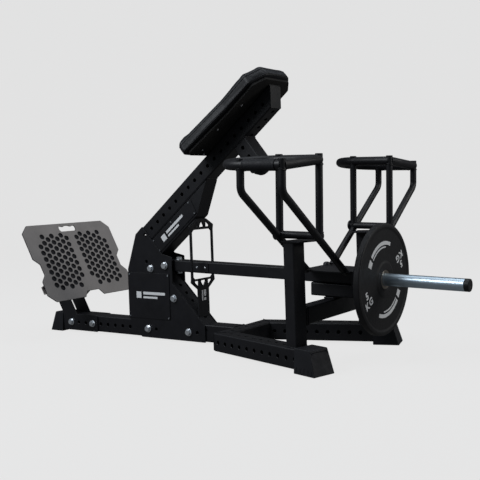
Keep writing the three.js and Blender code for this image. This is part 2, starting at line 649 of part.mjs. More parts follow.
// ---------------------------------------------------------------- sleeve and bumper plate
const SLEEVE_R = 25;
const SLEEVE_END = 1463;
const COLLAR_X = 1085;
const DISC_R = 225;
const DISC_T = 28;
const DISC_X = 1099;

put(lever, 'weight_sleeve', cut(
  join(rod('x', SLEEVE_R, FLANGE_END + GAP, SLEEVE_END, 0, 0, 24),
    rod('x', 43, COLLAR_X, COLLAR_X + 13, 0, 0, 24)),
  rod('x', SLEEVE_R - 4, 900, 1600, 0, 0, 24)), sleeveSteel);
put(lever, 'sleeve_cap', join(
  rod('x', SLEEVE_R - 4.6, SLEEVE_END - 16, SLEEVE_END + 4, 0, 0, 20),
  rod('x', SLEEVE_R, SLEEVE_END + GAP, SLEEVE_END + 20, 0, 0, 24)), plastic);

// Profiles as [radius, x]; the plate has a raised rim and centre on both faces.
put(lever, 'weight_plate', turned([
  [38.4, 0], [92, 0], [100, 4], [196, 4], [204, 0], [221, 0], [DISC_R, 4],
  [DISC_R, DISC_T - 4], [221, DISC_T], [204, DISC_T], [196, DISC_T - 4],
  [100, DISC_T - 4], [92, DISC_T], [38.4, DISC_T]], 48, DISC_X), discRubber);
put(lever, 'plate_hub', turned(
  [[26, 0.5], [38, 0.5], [38, DISC_T - 0.5], [26, DISC_T - 0.5]], 24, DISC_X), zinc);

export default machine;
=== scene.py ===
"""Plate-loaded lever machine with a chest pad.

It stands on z = 0 with its long axis along X and +Y as its left. The front foot and the footplate
are at -X, the splayed rear legs and the lever's weight sleeve at +X. A sloped arm over the tower
carries the chest pad; the lever swings on an axle in the tower and carries two hand grips and one
bumper plate. Bodies: "frame" stands still, "lever" swings, "plate" is the bumper plate.
"""
from math import acos, atan2, cos, hypot, pi, radians, sin, sqrt, tan
import bpy
import bmesh
from mathutils import Matrix, Vector, noise
from mathutils.bvhtree import BVHTree

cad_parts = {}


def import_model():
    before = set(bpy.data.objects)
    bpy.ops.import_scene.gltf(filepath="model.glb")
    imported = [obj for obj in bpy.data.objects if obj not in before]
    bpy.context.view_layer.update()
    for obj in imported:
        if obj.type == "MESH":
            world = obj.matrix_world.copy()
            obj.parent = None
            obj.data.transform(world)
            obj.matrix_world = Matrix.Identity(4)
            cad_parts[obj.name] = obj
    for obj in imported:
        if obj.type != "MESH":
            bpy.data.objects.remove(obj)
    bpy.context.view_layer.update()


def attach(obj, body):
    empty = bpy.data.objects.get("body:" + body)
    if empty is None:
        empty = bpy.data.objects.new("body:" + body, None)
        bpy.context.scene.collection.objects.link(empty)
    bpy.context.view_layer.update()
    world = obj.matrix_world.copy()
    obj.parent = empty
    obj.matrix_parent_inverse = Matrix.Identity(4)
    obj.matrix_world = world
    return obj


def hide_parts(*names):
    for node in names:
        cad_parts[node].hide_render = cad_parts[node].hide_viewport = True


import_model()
SCENE = bpy.context.scene

# ------------------------------------------------------------------ driving dimensions
# Millimetres in the machine's own frame: X from the crossmember, Y from the centre plane.
TUBE = 80.0                     # main square tube
HALF = TUBE / 2
GAP = 0.3                       # clearance between neighbouring parts
TUBE_TOP = 91.0                 # height of the base tubes' top faces
TUBE_MID = TUBE_TOP - HALF
HOLE = 8.6                      # bolt hole radius
PITCH = 50                      # hole spacing on the main tubes
SKIN = HALF + GAP               # inner face of the side plates
SIDE_FACE = SKIN + 6            # outer face of the 6 mm side plates
PIVOT_X, PIVOT_Z = -429, 355    # lever axle
ARM_X, ARM_Z = -548.5, 497.2    # origin of the arm's frame
ARM_SLOPE = radians(38.8)
LEG_Y, SPLAY = 154, radians(16.3)
MITRE = cos(SPLAY) / (1 + sin(SPLAY))      # shared mitre slope of crossmember and legs
BEAM_Z = 205                    # rear beam's centre height
DOUBLER_DEPTH = 131             # doubler's underside below the arm's centreline
GUIDE_X = -246                  # front face of the guide post


# ------------------------------------------------------------------ frames
def axes(x, y, z, origin=(0, 0, 0)):
    """Frame with the given axis directions and origin."""
    frame = Matrix((x, y, z)).transposed().to_4x4()
    frame.translation = Vector(origin)
    return frame


def shift(x, y, z):
    return Matrix.Translation((x, y, z))


def side_plane(x=0, z=0):
    """Outline in X and Z, depth towards -Y."""
    return axes((1, 0, 0), (0, 0, 1), (0, -1, 0), (x, 0, z))


def end_plane(x=0, y=0, z=0):
    """Outline in Y and Z, depth towards +X."""
    return axes((0, 1, 0), (0, 0, 1), (1, 0, 0), (x, y, z))


def along_y(x, z):
    """Tube running along Y, its section's height along Z."""
    return axes((0, 1, 0), (-1, 0, 0), (0, 0, 1), (x, 0, z))


def on_axis(point, direction, spin=0):
    """Frame at a point with local Z along a direction."""
    direction = Vector(direction).normalized()
    up = Vector((0, 0, 1)) if abs(direction.z) < 0.9 else Vector((1, 0, 0))
    up = (up - direction * up.dot(direction)).normalized()
    across = direction.cross(up)
    return axes(up, across, direction, point) @ Matrix.Rotation(spin, 4, "Z")


FRAME = Matrix.Translation((0.08445, 0, 0)) @ Matrix.Scale(0.001, 4)     # machine mm to metres
LEVER = FRAME @ (shift(PIVOT_X, 0, PIVOT_Z) @ Matrix.Rotation(radians(1.53), 4, "Y"))
SIDE = side_plane()
UPWARD = axes((0, 0, 1), (0, 1, 0), (-1, 0, 0))      # a tube standing up

ARM_ALONG = Vector((cos(ARM_SLOPE), 0, sin(ARM_SLOPE)))
ARM_NORMAL = Vector((-sin(ARM_SLOPE), 0, cos(ARM_SLOPE)))
ARM = axes(ARM_ALONG, (0, 1, 0), ARM_NORMAL, (ARM_X, 0, ARM_Z))
ON_ARM = FRAME @ ARM
STOP = ARM @ shift(700, 0, 0)

LEG_ALONG = Vector((cos(SPLAY), -sin(SPLAY), 0))
LEG_ACROSS = Vector((sin(SPLAY), cos(SPLAY), 0))
LEG = axes(LEG_ALONG, LEG_ACROSS, (0, 0, 1), (0, -LEG_Y, TUBE_MID))
LEG_FLOOR = axes(LEG_ALONG, LEG_ACROSS, (0, 0, 1), (0, -LEG_Y, 0))
COLUMN_FOOT = Vector((0, -LEG_Y, 0)) + LEG_ALONG * 470
COLUMN = axes(LEG_ALONG, LEG_ACROSS, (0, 0, 1), COLUMN_FOOT)

DIAGONAL = sqrt(0.5)
BRACE_Z = -115                  # where the brace's upper face line crosses x = 0
BRACE = axes((DIAGONAL, 0, -DIAGONAL), (0, 1, 0), (DIAGONAL, 0, DIAGONAL), (0, 0, BRACE_Z))

FOOT_SLOPE = radians(60.8)
FOOT_UP = Vector((-cos(FOOT_SLOPE), 0, sin(FOOT_SLOPE)))
FOOT_NORMAL = Vector((sin(FOOT_SLOPE), 0, cos(FOOT_SLOPE)))
FOOT_ORIGIN = (-914, 0, 134)
FOOT = axes((0, 1, 0), FOOT_UP, FOOT_NORMAL, FOOT_ORIGIN)


def arm_point(along, above):
    """Machine (x, z) of a point given along the arm and above its centreline."""
    return (ARM_X + along * ARM_ALONG.x + above * ARM_NORMAL.x,
            ARM_Z + along * ARM_ALONG.z + above * ARM_NORMAL.z)


def arm_height(x, above):
    """Height at x of the line parallel to the arm's centreline."""
    return ARM_Z + (x - ARM_X) * tan(ARM_SLOPE) + above / cos(ARM_SLOPE)


# ------------------------------------------------------------------ materials
def rgba(value):
    """Opaque colour from a grey level or an RGB triple; a socket passes through."""
    if isinstance(value, (int, float)):
        value = (value,) * 3
    return (*value, 1) if isinstance(value, tuple) else value


class Shader:
    """A new material, with short ways to add the nodes used here."""

    def __init__(self, name):
        self.material = bpy.data.materials.new(name)
        self.material.use_nodes = True
        self.tree = self.material.node_tree
        self.principled = self.tree.nodes["Principled BSDF"]

    def node(self, kind, **settings):
        node = self.tree.nodes.new("ShaderNode" + kind)
        for key, value in settings.items():
            setattr(node, key, value)
        return node

    def put(self, target, value):
        """Links a socket to an input, or sets the input to a plain value."""
        if isinstance(value, bpy.types.NodeSocket):
            self.tree.links.new(value, target)
        else:
            target.default_value = value

    def surface(self, label, value):
        self.put(self.principled.inputs[label], value)

    def ramp(self, source, low, high):
        """Colour ramp between two stops, each (position, colour)."""
        node = self.node("ValToRGB")
        for stop, (position, colour) in zip(node.color_ramp.elements, (low, high)):
            stop.position = position
            stop.color = rgba(colour)
        self.put(node.inputs[0], source)
        return node.outputs[0]

    def mix(self, factor, first, second):
        node = self.node("Mix", data_type="RGBA")
        self.put(node.inputs[0], factor)
        self.put(node.inputs[6], rgba(first))
        self.put(node.inputs[7], rgba(second))
        return node.outputs[2]

    def bump(self, height, strength, distance, under=None):
        node = self.node("Bump")
        self.put(node.inputs["Strength"], strength)
        self.put(node.inputs["Distance"], distance)
        self.put(node.inputs["Height"], height)
        if under:
            self.put(node.inputs["Normal"], under)
        self.surface("Normal", node.outputs[0])
        return node.outputs[0]

    def noise(self, scale, detail=3, rough=0.5, stretch=None):
        coords = self.node("TexCoord").outputs["Object"]
        if stretch:
            mapping = self.node("Mapping")
            self.put(mapping.inputs["Scale"], stretch)
            self.put(mapping.inputs["Vector"], coords)
            coords = mapping.outputs[0]
        node = self.node("TexNoise")
        for label, value in (("Scale", scale), ("Detail", detail), ("Roughness", rough),
                             ("Vector", coords)):
            self.put(node.inputs[label], value)
        return node.outputs["Fac"]

    def edge_mask(self, radius):
        """1 along convex and concave edges, 0 on flats."""
        bevel = self.node("Bevel", samples=4)
        self.put(bevel.inputs["Radius"], radius)
        geometry = self.node("NewGeometry")
        dot = self.node("VectorMath", operation="DOT_PRODUCT")
        self.put(dot.inputs[0], bevel.outputs[0])
        self.put(dot.inputs[1], geometry.outputs["Normal"])
        return self.ramp(dot.outputs["Value"], low=(0.80, 1), high=(0.985, 0))


def powder(name, dark, light, edge, rough, grain=1300, strength=0.22):
    """Powder coat, paler where its edges are worn."""
    shader = Shader(name)
    cloud = shader.noise(scale=9, detail=5, rough=0.6)
    colour = shader.ramp(cloud, low=(0.35, dark), high=(0.7, light))
    fine = shader.noise(scale=grain, detail=2, rough=0.6)
    sparkle = tuple(min(1, c * 1.8 + 0.004) for c in light)
    colour = shader.mix(shader.ramp(fine, low=(0.45, 0), high=(0.75, 0.35)), colour, sparkle)
    scuff = shader.noise(scale=60, detail=6, rough=0.7)
    worn = shader.node("Math", operation="MULTIPLY")
    shader.put(worn.inputs[0], shader.edge_mask(radius=0.0016))
    shader.put(worn.inputs[1], shader.ramp(scuff, low=(0.42, 0.15), high=(0.62, 0.8)))
    shader.surface("Base Color", shader.mix(worn.outputs[0], colour, edge))
    blotch = shader.noise(scale=25, detail=4, rough=0.6)
    shader.surface("Roughness", shader.ramp(blotch, low=(0.3, rough[0]), high=(0.75, rough[1])))
    shader.surface("Specular IOR Level", 0.36)
    shader.bump(fine, strength=strength, distance=0.0004)
    return shader.material


def rubber(name, dark, light, rough, speck=420, strength=0.3):
    """Moulded rubber, plastic, thread or board: mottled and finely specked."""
    shader = Shader(name)
    cloud = shader.noise(scale=14, detail=6, rough=0.65)
    shader.surface("Base Color", shader.ramp(cloud, low=(0.3, dark), high=(0.75, light)))
    blotch = shader.noise(scale=40, detail=5, rough=0.6)
    gloss = shader.ramp(blotch, low=(0.3, rough - 0.07), high=(0.7, rough + 0.1))
    shader.surface("Roughness", gloss)
    shader.surface("Specular IOR Level", 0.35)
    specks = shader.noise(scale=speck, detail=4, rough=0.7)
    shader.bump(specks, strength=strength, distance=0.0005)
    return shader.material


def vinyl(name):
    """Leather-grained vinyl: wobbled cells with dark creases."""
    shader = Shader(name)
    coords = shader.node("TexCoord").outputs["Object"]
    cells = shader.node("TexVoronoi", feature="DISTANCE_TO_EDGE")
    shader.put(cells.inputs["Scale"], 620)
    wobble = shader.node("TexNoise")
    shader.put(wobble.inputs["Scale"], 240)
    shader.put(wobble.inputs["Vector"], coords)
    nudge = shader.node("VectorMath", operation="MULTIPLY_ADD")
    shader.put(nudge.inputs[1], (0.0016,) * 3)
    shader.put(nudge.inputs[0], wobble.outputs["Color"])
    shader.put(nudge.inputs[2], coords)
    shader.put(cells.inputs["Vector"], nudge.outputs[0])
    crease = shader.ramp(cells.outputs["Distance"], low=(0, 0), high=(0.22, 1))
    tone = shader.ramp(shader.noise(scale=7, detail=5, rough=0.6),
                       low=(0.3, (0.0018, 0.0021, 0.0036)), high=(0.75, (0.0036, 0.0042, 0.0070)))
    shader.surface("Base Color", shader.mix(crease, (0.004, 0.004, 0.005), tone))
    blotch = shader.noise(scale=30, detail=5, rough=0.6)
    shader.surface("Roughness", shader.ramp(blotch, low=(0.3, 0.46), high=(0.75, 0.58)))
    shader.surface("Specular IOR Level", 0.34)
    shader.surface("Sheen Weight", 0.03)
    shader.surface("Sheen Tint", (0.5, 0.6, 0.8, 1))
    grain = shader.bump(crease, strength=0.10, distance=0.0002)
    swell = shader.noise(scale=38, detail=3, rough=0.5)
    shader.bump(swell, strength=0.10, distance=0.0012, under=grain)
    return shader.material


def metal(name, dark, light, rough, stretch=None, scale=300, strength=0.06, spots=None):
    """Bare or plated metal, with optional dull spots."""
    shader = Shader(name)
    shader.surface("Metallic", 1.0)
    grain = shader.noise(scale=scale, detail=4, rough=0.6, stretch=stretch)
    cloud = shader.noise(scale=35, detail=5, rough=0.6)
    colour = shader.ramp(cloud, low=(0.3, dark), high=(0.7, light))
    if spots:
        patches = shader.noise(scale=180, detail=5, rough=0.75)
        colour = shader.mix(shader.ramp(patches, low=(0.6, 0), high=(0.75, 0.7)), colour, spots)
    shader.surface("Base Color", colour)
    shader.surface("Roughness", shader.ramp(grain, low=(0.3, rough[0]), high=(0.75, rough[1])))
    if strength:
        shader.bump(grain, strength=strength, distance=0.0003)
    return shader.material


def printed_ink(name, colour):
    shader = Shader(name)
    faded = tuple(c * 0.78 for c in colour)
    wear = shader.noise(scale=260, detail=5, rough=0.7)
    shader.surface("Base Color", shader.ramp(wear, low=(0.25, faded), high=(0.5, colour)))
    shader.surface("Roughness", 0.55)
    shader.bump(shader.noise(scale=900, detail=2), strength=0.1, distance=0.0002)
    return shader.material


COAT = powder("coat", dark=(0.0024, 0.0024, 0.0038), light=(0.0044, 0.0045, 0.0068),
              edge=(0.018, 0.018, 0.021), rough=(0.44, 0.58))
PLATE_COAT = powder("coat_plate", dark=(0.0028, 0.0028, 0.0043), light=(0.0050, 0.0051, 0.0075),
                    edge=(0.021, 0.021, 0.024), rough=(0.42, 0.56), grain=1100)
GREY = powder("grey_sheet", dark=(0.205, 0.190, 0.183), light=(0.248, 0.230, 0.221),
              edge=(0.33, 0.31, 0.29), rough=(0.42, 0.58), grain=900, strength=0.2)
RUBBER = rubber("rubber", dark=(0.0034, 0.0037, 0.0058), light=(0.0066, 0.0071, 0.0106),
                rough=0.64)
DISC_RUBBER = rubber("bumper_rubber", dark=(0.0044, 0.0044, 0.0055),
                     light=(0.0075, 0.0075, 0.0090), rough=0.56, speck=700, strength=0.22)
VINYL = vinyl("vinyl")
THREAD = rubber("thread", dark=(0.012, 0.012, 0.014), light=(0.03, 0.03, 0.034),
                rough=0.6, speck=1500, strength=0.5)
BOARD = rubber("board", dark=(0.006, 0.006, 0.006), light=(0.012, 0.011, 0.010),
               rough=0.75, speck=160, strength=0.5)
ZINC = metal("zinc", dark=(0.70, 0.75, 0.80), light=(0.86, 0.88, 0.90), rough=(0.34, 0.50),
             scale=500, strength=0.1, spots=(0.40, 0.39, 0.36))
SLEEVE_STEEL = metal("sleeve", dark=(0.56, 0.68, 0.78), light=(0.63, 0.75, 0.85),
                     rough=(0.34, 0.42), stretch=(5, 0.3, 0.3), scale=60, strength=0.0)
HUB_STEEL = metal("hub_steel", dark=(0.22, 0.20, 0.17), light=(0.34, 0.31, 0.27),
                  rough=(0.28, 0.45), scale=420, strength=0.12, spots=(0.12, 0.09, 0.06))
BRONZE = metal("bronze", dark=(0.40, 0.27, 0.12), light=(0.52, 0.37, 0.18), rough=(0.35, 0.5))
PLASTIC = rubber("plastic", dark=(0.006, 0.006, 0.0065), light=(0.010, 0.010, 0.0105),
                 rough=0.45, speck=260, strength=0.15)
INK = printed_ink("ink", colour=(0.80, 0.81, 0.82))
# painted shade: near-black for the screws' socket recesses, which are dark only from shade
SOCKET_SHADE = rubber("socket", dark=(0.003, 0.003, 0.003), light=(0.006, 0.006, 0.006), rough=0.6)


# ------------------------------------------------------------------ mesh tools
PIECES = {}                     # every finished piece by name, in building order


def add_object(name, data):
    obj = bpy.data.objects.new(name, data)
    SCENE.collection.objects.link(obj)
    return obj


def add_piece(name, mesh, smooth):
    """Adds a piece; smooth is the angle in degrees above which its edges are sharp."""
    obj = add_object(name, mesh)
    obj["smooth"] = smooth
    PIECES[name] = obj
    return obj


def build_mesh(name, verts, faces, place, mat, bevel=None):
    """Mesh placed by a matrix; bevel is (width, segments) for all its sharp edges."""
    mesh = bpy.data.meshes.new(name)
    mesh.from_pydata([tuple(place @ Vector(v)) for v in verts], [], faces)
    bm = bmesh.new()
    bm.from_mesh(mesh)
    bmesh.ops.remove_doubles(bm, verts=bm.verts, dist=1e-4)
    bmesh.ops.recalc_face_normals(bm, faces=bm.faces)
    if bevel:
        sharp = [e for e in bm.edges
                 if len(e.link_faces) == 2 and e.calc_face_angle(0) > radians(28)]
        bmesh.ops.bevel(bm, geom=sharp, offset=bevel[0], segments=bevel[1], profile=0.5,
                        affect="EDGES", clamp_overlap=True)
    bm.to_mesh(mesh)
    bm.free()
    mesh.materials.append(mat)
    return mesh


def make(name, verts, faces, place, mat, smooth=35, bevel=None):
    return add_piece(name, build_mesh(name, verts, faces, place, mat, bevel), smooth)


def bake(obj):
    """Replaces an object's mesh with its modified form."""
    graph = bpy.context.evaluated_depsgraph_get()
    obj.data = bpy.data.meshes.new_from_object(obj.evaluated_get(graph))
    obj.modifiers.clear()


def both_sides(build):
    """Builds the right-hand (-Y) pieces, then mirrors each one to the left."""
    before = len(PIECES)
    build()
    for name, piece in list(PIECES.items())[before:]:
        mesh = piece.data.copy()
        for vertex in mesh.vertices:
            vertex.co.y = -vertex.co.y
        mesh.flip_normals()
        add_piece(name.replace("_R", "_L"), mesh, piece["smooth"])


def bands(count, rings, base=0, wrap=False):
    """Quads joining each ring of count points to the next; wrap joins last to first."""
    faces = []
    for ring in range(rings if wrap else rings - 1):
        low, high = base + ring * count, base + (ring + 1) % rings * count
        for i in range(count):
            j = (i + 1) % count
            faces.append((low + i, low + j, high + j, high + i))
    return faces


def caps(count, rings, base=0):
    """Faces over the first and last rings."""
    last = base + (rings - 1) * count
    return [tuple(range(base, base + count)), tuple(range(last, last + count))]


def capped(name, rings, place, mat, smooth):
    """Solid through a list of rings, closed at both ends."""
    size = len(rings[0]), len(rings)
    verts = [v for ring in rings for v in ring]
    return make(name, verts, bands(*size) + caps(*size), place, mat, smooth)


def angles(count):
    return [2 * pi * i / count for i in range(count)]


def ring_at(radius, z, count, x=0, y=0):
    return [(x + radius * cos(a), y + radius * sin(a), z) for a in angles(count)]


def at_height(outline, z):
    return [(x, y, z) for x, y in outline]


def cut(target, cutters):
    """Subtracts closed solids, each a (place, rings of points)."""
    if not cutters:
        return
    verts, faces = [], []
    for place, rings in cutters:
        size = len(rings[0]), len(rings), len(verts)
        verts += [tuple(place @ Vector(v)) for ring in rings for v in ring]
        faces += bands(*size) + caps(*size)
    mesh = bpy.data.meshes.new("cut")
    mesh.from_pydata(verts, [], faces)
    bm = bmesh.new()
    bm.from_mesh(mesh)
    bmesh.ops.recalc_face_normals(bm, faces=bm.faces)
    bm.to_mesh(mesh)
    bm.free()
    cutter = add_object("cut", mesh)
    boolean = target.modifiers.new("b", "BOOLEAN")
    boolean.operation, boolean.solver, boolean.object = "DIFFERENCE", "EXACT", cutter
    solid = target.data
    bake(target)
    bpy.data.meshes.remove(solid)
    bpy.data.objects.remove(cutter)
    bpy.data.meshes.remove(mesh)


def rectangle(x0, x1, y0, y1):
    return [(x0, y0), (x1, y0), (x1, y1), (x0, y1)]


def rounded_box(width, height, radius, steps=5):
    """Centred rectangle with round corners."""
    x, y = width / 2 - radius, height / 2 - radius
    points = []
    for centre_x, centre_y, start in ((x, y, 0), (-x, y, 90), (-x, -y, 180), (x, -y, 270)):
        for i in range(steps + 1):
            a = radians(start + 90 * i / steps)
            points.append((centre_x + radius * cos(a), centre_y + radius * sin(a)))
    return points


def fillet(outline, radius, steps=5):
    """Turns an outline anticlockwise and rounds its corners."""
    count = len(outline)
    area = sum(outline[i][0] * outline[(i + 1) % count][1]
               - outline[(i + 1) % count][0] * outline[i][1] for i in range(count))
    if area < 0:
        outline = outline[::-1]
    rounded = []
    for i in range(count):
        before, corner, after = (Vector(outline[k % count]) for k in (i - 1, i, i + 1))
        back, ahead = before - corner, after - corner
        room = back.length * 0.45, ahead.length * 0.45
        back.normalize()
        ahead.normalize()
        angle = acos(max(-1, min(1, back.dot(ahead))))
        if angle > radians(176) or radius <= 0:
            rounded.append(tuple(corner))
            continue
        setback = min(radius / tan(angle / 2), *room)
        fitted = setback * tan(angle / 2)
        centre = corner + (back + ahead).normalized() * (fitted / sin(angle / 2))
        first, last = corner + back * setback - centre, corner + ahead * setback - centre
        start = atan2(first.y, first.x)
        turn = (atan2(last.y, last.x) - start + pi) % (2 * pi) - pi
        pieces = max(2, int(steps * abs(turn) / radians(90)) + 1)
        for j in range(pieces + 1):
            a = start + turn * j / pieces
            rounded.append((centre.x + fitted * cos(a), centre.y + fitted * sin(a)))
    return rounded


def inset(outline, distance):
    """Moves an anticlockwise outline inwards."""
    moved, count = [], len(outline)
    for i in range(count):
        before, corner, after = (Vector(outline[k % count]) for k in (i - 1, i, i + 1))
        arriving, leaving = (corner - before).normalized(), (after - corner).normalized()
        normal0, normal1 = Vector((-arriving.y, arriving.x)), Vector((-leaving.y, leaving.x))
        push = (normal0 + normal1) / max(0.3, 1 + normal0.dot(normal1))
        moved.append((corner.x + push.x * distance, corner.y + push.y * distance))
    return moved


def densify(points, step, closed=True):
    """Adds points so that neighbours lie about a step apart."""
    dense, count = [], len(points)
    for i in range(count if closed else count - 1):
        here, there = points[i], points[(i + 1) % count]
        parts = max(1, int((there - here).length / step))
        dense += [here.lerp(there, j / parts) for j in range(parts)]
    return dense if closed else dense + [points[-1]]


def box_tube(name, start, end, place, width=TUBE, height=TUBE, wall=4, corner=7, drills=None,
             closed=False):
    """Coated box section along local X.

    start and end are (x, slope over y, slope over z) of the end planes. drills maps a face
    ("y" for both sides, "+z" or "-z") to stations along the tube. closed gives solid ends.
    """
    chamfer = 0.8
    outer = rounded_box(width, height, corner)
    drawn_in = [(y * (1 - 2 * chamfer / width), z * (1 - 2 * chamfer / height))
                for y, z in outer]

    def ring(plane, outline, offset=0):
        return [(plane[0] + plane[1] * y + plane[2] * z + offset, y, z) for y, z in outline]

    rings = [ring(start, drawn_in), ring(start, outer, chamfer),
             ring(end, outer, -chamfer), ring(end, drawn_in)]
    if not closed:
        bore = rounded_box(width - 2 * wall, height - 2 * wall, max(1.5, corner - wall))
        rings += [ring(end, bore), ring(start, bore)]
    size = len(outer), len(rings)
    faces = bands(*size) + caps(*size) if closed else bands(*size, wrap=True)
    tube = make(name, [v for r in rings for v in r], faces, place, COAT)

    cutters = []
    for face, stations in (drills or {}).items():
        half = (width if face == "y" else height) / 2
        for x in stations:
            frame = place @ (side_plane(x) if face == "y" else shift(x, 0, 0))
            for side in {"y": (-1, 1), "+z": (1,), "-z": (-1,)}[face]:
                # flared outside the surface, then through the wall
                profile = ((HOLE + chamfer + 3, half + 3), (HOLE + chamfer, half),
                           (HOLE, half - chamfer), (HOLE, half - wall - 3))
                cutters.append((frame, [ring_at(r, side * z, 28) for r, z in profile]))
    cut(tube, cutters)


def plate(name, outline, low, high, place, mat=PLATE_COAT, corner=0, chamfer=0.8,
          holes=(), windows=(), seg=28):
    """Flat plate with chamfered rims; holes are (x, y, radius), windows are outlines."""
    rim = fillet(outline, corner)
    face = inset(rim, chamfer)
    rings = [at_height(face, low), at_height(rim, low + chamfer),
             at_height(rim, high - chamfer), at_height(face, high)]
    size = len(rim), 4
    sheet = make(name, [v for r in rings for v in r], caps(*size) + bands(*size), place, mat)
    cutters = []
    for x, y, radius in holes:
        wide = radius + chamfer
        profile = ((wide + 2, low - 2), (wide, low), (radius, low + chamfer),
                   (radius, high - chamfer), (wide, high), (wide + 2, high + 2))
        cutters.append((place, [ring_at(r, z, seg, x, y) for r, z in profile]))
    for window in windows:
        edge = fillet(window, 4)
        wide = inset(edge, -chamfer)
        profile = ((wide, low - 2), (wide, low), (edge, low + chamfer),
                   (edge, high - chamfer), (wide, high), (wide, high + 2))
        cutters.append((place, [at_height(line, z) for line, z in profile]))
    cut(sheet, cutters)
    return sheet


def block(name, x0, x1, y0, y1, z0, z1, place, mat=RUBBER, bevel=2.0, steps=3, top=None):
    """Bevelled block; top is its upper face's (x0, x1, y0, y1) where that differs."""
    verts = at_height(rectangle(x0, x1, y0, y1), z0)
    verts += at_height(rectangle(*(top or (x0, x1, y0, y1))), z1)
    faces = [(0, 3, 2, 1), (4, 5, 6, 7), (0, 1, 5, 4), (1, 2, 6, 5), (2, 3, 7, 6), (3, 0, 4, 7)]
    make(name, verts, faces, place, mat, 40, (bevel * place.to_scale().x, steps))


def lathe(name, profile, place, mat=PLATE_COAT, seg=48, closed=False):
    """Turned about local Z. profile is (radius, z); closed joins its last point to the first."""
    verts, faces, rings = [], [], []
    for radius, z in profile:
        start = len(verts)
        if radius < 1e-6:
            rings.append([start] * seg)
            verts.append((0, 0, z))
        else:
            rings.append([start + i for i in range(seg)])
            verts += ring_at(radius, z, seg)
    pairs = list(zip(rings, rings[1:])) + ([(rings[-1], rings[0])] if closed else [])
    for low, high in pairs:
        for i in range(seg):
            j = (i + 1) % seg
            face = tuple(dict.fromkeys((low[i], low[j], high[j], high[i])))
            if len(face) > 2:
                faces.append(face)
    make(name, verts, faces, place, mat, 32)


CAP_LAYERS = ((0, 1), (0.3, 0.3), (1, 0))      # distance inwards and radius lost, in caps


def sweep(name, path, radius, place, mat=COAT, seg=8, closed=False, cap=0, swell=None):
    """Round bar along a path; cap rounds its ends, swell(i) scales its radius at point i."""
    points = [Vector(p) for p in path]
    last = len(points) - 1
    tangents = []
    for i in range(last + 1):
        before = points[i - 1] if closed or i else points[0]
        after = points[(i + 1) % (last + 1)] if closed or i < last else points[-1]
        tangents.append((after - before).normalized())
    up = Vector((0, 0, 1)) if abs(tangents[0].z) < 0.9 else Vector((1, 0, 0))
    verts = []
    for i, (point, tangent) in enumerate(zip(points, tangents)):
        up = (up - tangent * up.dot(tangent)).normalized()
        if i == 0:      # settled twice at the start, so that rounding stays even
            up = (up - tangent * up.dot(tangent)).normalized()
        across = tangent.cross(up)
        width = swell(i) * radius if swell else radius
        inward, layers = 0, ((0, 0),)
        if cap and i in (0, last):
            inward = 1 if i == 0 else -1
            layers = CAP_LAYERS[::inward]
        for along, lost in layers:
            centre = point + tangent * cap * along * inward
            reach = width - cap * lost
            verts += [tuple(centre + up * (reach * cos(a)) + across * (reach * sin(a)))
                      for a in angles(seg)]
    size = seg, len(verts) // seg
    faces = bands(*size)
    if closed:          # turn the closing band to the nearest match
        end = len(verts) - seg
        first = Vector(verts[end])
        twist = min(range(seg), key=lambda s: (first - Vector(verts[s])).length)
        for i in range(seg):
            j = (i + 1) % seg
            faces.append((end + i, end + j, (j + twist) % seg, (i + twist) % seg))
    else:
        faces += caps(*size)
    make(name, verts, faces, place, mat, 50)


def bead(name, path, radius, place=FRAME, closed=True):
    """Weld bead: an uneven ridge along a path."""
    dense = densify([Vector(p) for p in path], 1.6, closed)
    sweep(name, dense, radius, place, closed=closed, cap=0 if closed else 0.5,
          swell=lambda i: 1 + 0.08 * sin(i * 0.37))


def circle(centre, axis, radius, count=28):
    axis = Vector(axis).normalized()
    side = axis.orthogonal().normalized()
    other = axis.cross(side)
    return [Vector(centre) + side * (radius * cos(a)) + other * (radius * sin(a))
            for a in angles(count)]


def saddle(start, heading, branch_radius, centre, axis, main_radius):
    """Line where a branch tube meets a main tube, found along the branch's heading."""
    heading, axis = Vector(heading).normalized(), Vector(axis).normalized()
    line = []
    for point in circle(start, heading, branch_radius, 32):
        offset = point - Vector(centre)
        offset = offset - axis * offset.dot(axis)
        slant = heading - axis * heading.dot(axis)
        # quadratic for the distance at which the ray meets the main tube
        square, linear = slant.dot(slant), 2 * offset.dot(slant)
        constant = offset.dot(offset) - main_radius * main_radius
        root = sqrt(max(0.0, linear * linear - 4 * square * constant))
        line.append(point + heading * ((-linear - root) / (2 * square)))
    return line


def hex_head(name, place, flats, height):
    """Hexagon with a chamfered crown; flats is the width across flats."""
    flat = flats / 2
    turns = angles(36)
    hexagon = [flat / cos((a % (pi / 3)) - pi / 6) for a in turns]
    slope = tan(radians(32))
    sections = [[(r - 0.4, 0) for r in hexagon], [(r, 0.4) for r in hexagon],
                [(r, height - (r - flat * 0.96) * slope) for r in hexagon]]
    sections += [[(flat * share, height + rise)] * 36
                 for share, rise in ((0.94, 0), (0.80, 0.05), (0.3, -0.25))]
    rings = [[(r * cos(a), r * sin(a), z) for (r, z), a in zip(section, turns)]
             for section in sections]
    capped(name, rings, place, ZINC, 25)


def bolt_end(name, place, point, direction, flats=24, nut=False, spin=0.0, washer=17.3):
    """Washer with a hex head, or with a nut and the bolt's threaded end."""
    seat = place @ on_axis(point, direction, spin)
    rim = [(0, 0), (washer - .5, 0), (washer, .5), (washer, 2.4), (washer - .6, 3), (10, 3), (0, 3)]
    lathe(name + "_washer", rim, seat, ZINC, 40)
    hex_head(name + ("_nut" if nut else "_head"), seat @ shift(0, 0, 3), flats,
             11.5 if nut else 9.5)
    if nut:
        profile = [(7.0, 13)]
        for turn in range(5):
            z = 13 + 1.4 * turn
            profile += [(8.0, z + .5), (7.1, z + 1.2)]
        lathe(name + "_thread", profile + [(6.4, 20.2), (0, 20.2)], seat, ZINC, 28)


